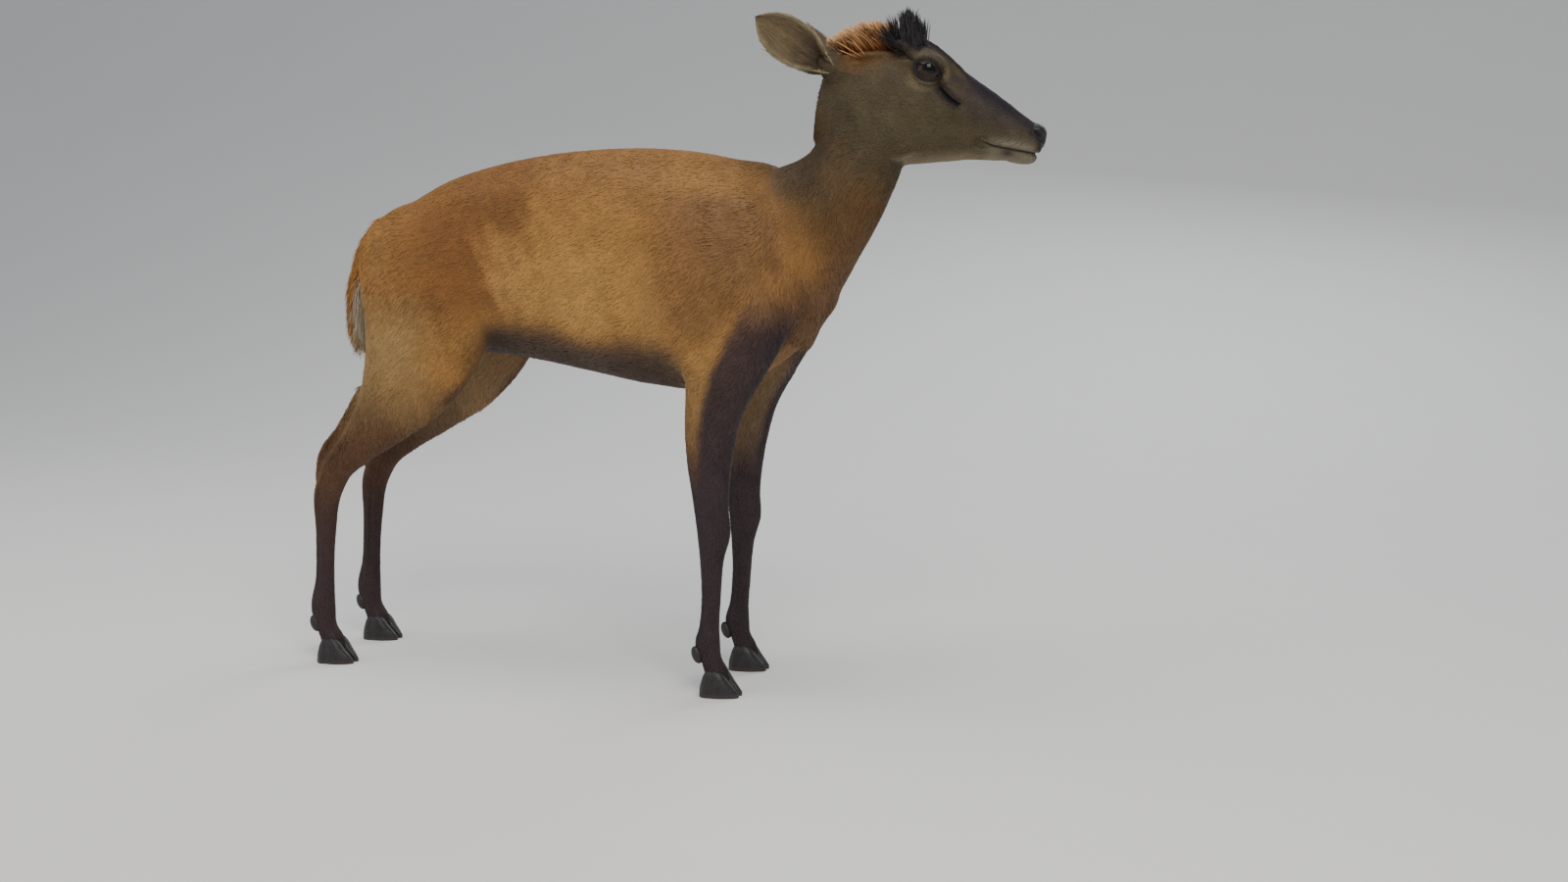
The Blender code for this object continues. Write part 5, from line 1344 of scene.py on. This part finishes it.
def makeTail():
    # The tail's flesh is an oval carried down the rump; its blades follow it to the tip
    rows = [(-0.212, 0, 0.449, 0.0060, 0.0060, 0.0060, 2), (-0.228, 0, 0.449, 0.0105, 0.0085, 0.0085, 2),
            (-0.246, 0, 0.437, 0.0125, 0.0090, 0.0070, 2), (-0.2610, 0, 0.408, 0.0130, 0.0060, 0.0050, 2),
            (-0.2680, 0, 0.375, 0.0130, 0.0050, 0.0045, 2), (-0.2695, 0, 0.350, 0.0100, 0.0040, 0.0035, 2),
            (-0.2690, 0, 0.336, 0.0050, 0.0025, 0.0020, 2)]
    rings, cols = 44, 32
    points, faces = ovalTube(rows, rings, cols)
    points = points + shift
    faces = outward(points, faces)
    path = smoothRows(rows, rings)[:, :3]
    ahead = unit(np.gradient(path, axis=0))
    lie = np.concatenate([np.repeat(ahead, cols, axis=0), ahead[[0, -1]]])
    ring = np.concatenate([np.tile(np.arange(cols) / cols, rings), [0.5, 0.5]])
    reach = np.concatenate([np.repeat(np.linspace(0, 1, rings), cols), [0, 1]])
    work = pieceFrom("work", points, faces)
    normals = arraysOf(work)[2]
    bpy.data.objects.remove(work)

    def shadeOf(normal, reach):  # pale on the side that faces the body, more so towards the tip
        below = ease(normal[:, 0] + 0.22 * reach, 0.74, 1.02) * ease(reach, 0.12, 0.30)
        return between(tail["upper"], tail["under"], below)

    colour = shadeOf(normals, reach)
    core = pieceFrom("tail_flesh", points, faces, skinFinish, {"coatColour": colour * 0.8})
    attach(core, "root")
    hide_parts("tail")
    density = (0.45 + 0.55 * reach) * (reach > 0.10) * (reach < 0.97)
    area = weightedArea(points, faces, density)
    patch = np.stack([0.05 + 0.9 * ring, 0.05 + 0.9 * reach], -1)
    roots, out, lie, reach, patch = scatter(
        points, faces, density * tail["count"] / area, 71, normals, lie, reach, patch)
    pick = np.random.default_rng(72)
    n = len(roots)
    out = unit(out)
    lie = lie + np.array([0, 1.0, 0]) * (out[:, 1:2] * 0.30) + 0.09 * pick.normal(0, 1, (n, 3))
    lie = unit(lie - out * (lie * out).sum(axis=1, keepdims=True))
    colour = shadeOf(out, reach) * pick.uniform(0.8, 1.15, (n, 1))
    size = tail["length"] * (0.55 + 0.45 * ease(reach, 0.1, 0.6)) * pick.uniform(0.6, 1.1, n)
    width = tail["width"] * pick.uniform(0.7, 1.2, n)
    lift = np.radians(tail["lift"] * pick.uniform(0.4, 1.6, n))
    seeds = {"root": roots, "out": out, "lie": lie, "length": size, "width": width, "lift": lift,
             "colour": colour, "tip": np.minimum(colour * 1.2, 0.9), "even": 0.12, "patch": patch}
    plant("coatTail", seeds, hairFinish, "tail_coat", stations=(0.25, 0.6), soft=0.2)


makeTail()

# Hooves
hoof = {"apart": 0.0081, "dark": (0.012, 0.010, 0.010), "pale": (0.060, 0.045, 0.035)}
clawRows = [  # along, inward bow, half width, rise
    (-0.016, 0.0000, 0.0045, 0.0100), (-0.013, 0.0000, 0.0068, 0.0190), (-0.004, 0.0000, 0.0074, 0.0240),
    (0.005, 0.0003, 0.0070, 0.0220), (0.013, 0.0014, 0.0052, 0.0120), (0.019, 0.0026, 0.0030, 0.0050),
    (0.0215, 0.0032, 0.0012, 0.0022)]


def hornFinish():
    # Growth rings are a wave of the height, bent by noise; fine streaks run down, worn paler by the floor
    f = Finish("hoof_horn_fine", {"Specular IOR Level": 0.45})
    spot = f.node("ShaderNodeTexCoord", out="Object")
    height = f.node("ShaderNodeSeparateXYZ", {}, {0: spot}, out=2)
    bend = f.noise(spot, 90, 3)
    rings = f.node("ShaderNodeMath", {"operation": "SINE"}, {0: (height + bend * 0.006) * 3200})
    streak = f.noise(f.place((1, 1, 0.06)), 1500, 3)
    worn = f.span(height + bend * 0.004, 0.0015, 0.0075, 1.0, 0.0)
    colour = f.mix(f.span(streak, 0.35, 0.7), hoof["dark"], tuple(2.4 * c for c in hoof["dark"]))
    colour = f.mix(worn * 0.7, colour, hoof["pale"])
    rough = f.span(streak, 0.3, 0.7, 0.34, 0.52) + worn * 0.18
    return f.feed(colour=colour, roughness=rough, normal=f.bump(rings * 0.5 + streak, 0.35, 0.0003))


# Each claw is an oval carried forward and cut flat at the floor; each dewclaw is an egg behind it
horn = hornFinish()
for leg, (hoofX, hand, kind) in legs.items():
    for place, inner in (("inner", -1), ("outer", 1)):
        y = hand * (pose["stance"] + inner * hoof["apart"])
        rows = [(hoofX + 0.012 + along, y - hand * inner * bow, 0.002, half, rise, 0.010, 2.6)
                for along, bow, half, rise in clawRows]
        points, faces = ovalTube(rows, 44, 40, (1, 0, 0))
        points[:, 2] = np.maximum(points[:, 2], 0)
        points = points + shift * np.array([1, 1, 0])
        claw = pieceFrom(f"claw_{leg}_{place}", points, outward(points, faces), horn)
        spot = np.array([hoofX - 0.0085, hand * (pose["stance"] + inner * 0.0066), 0.0400])
        points, faces = egg(spot, (0.0052, 0.0044, 0.0088), -0.35, rings=20, cols=24)
        spur = pieceFrom(f"spur_{leg}_{place}", points + shift, outward(points, faces), horn)
        for piece, node in ((claw, "hoof"), (spur, "dewclaw")):
            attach(piece, "root")
            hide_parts(f"{node}_{leg}_{place}")
print("hooves done")
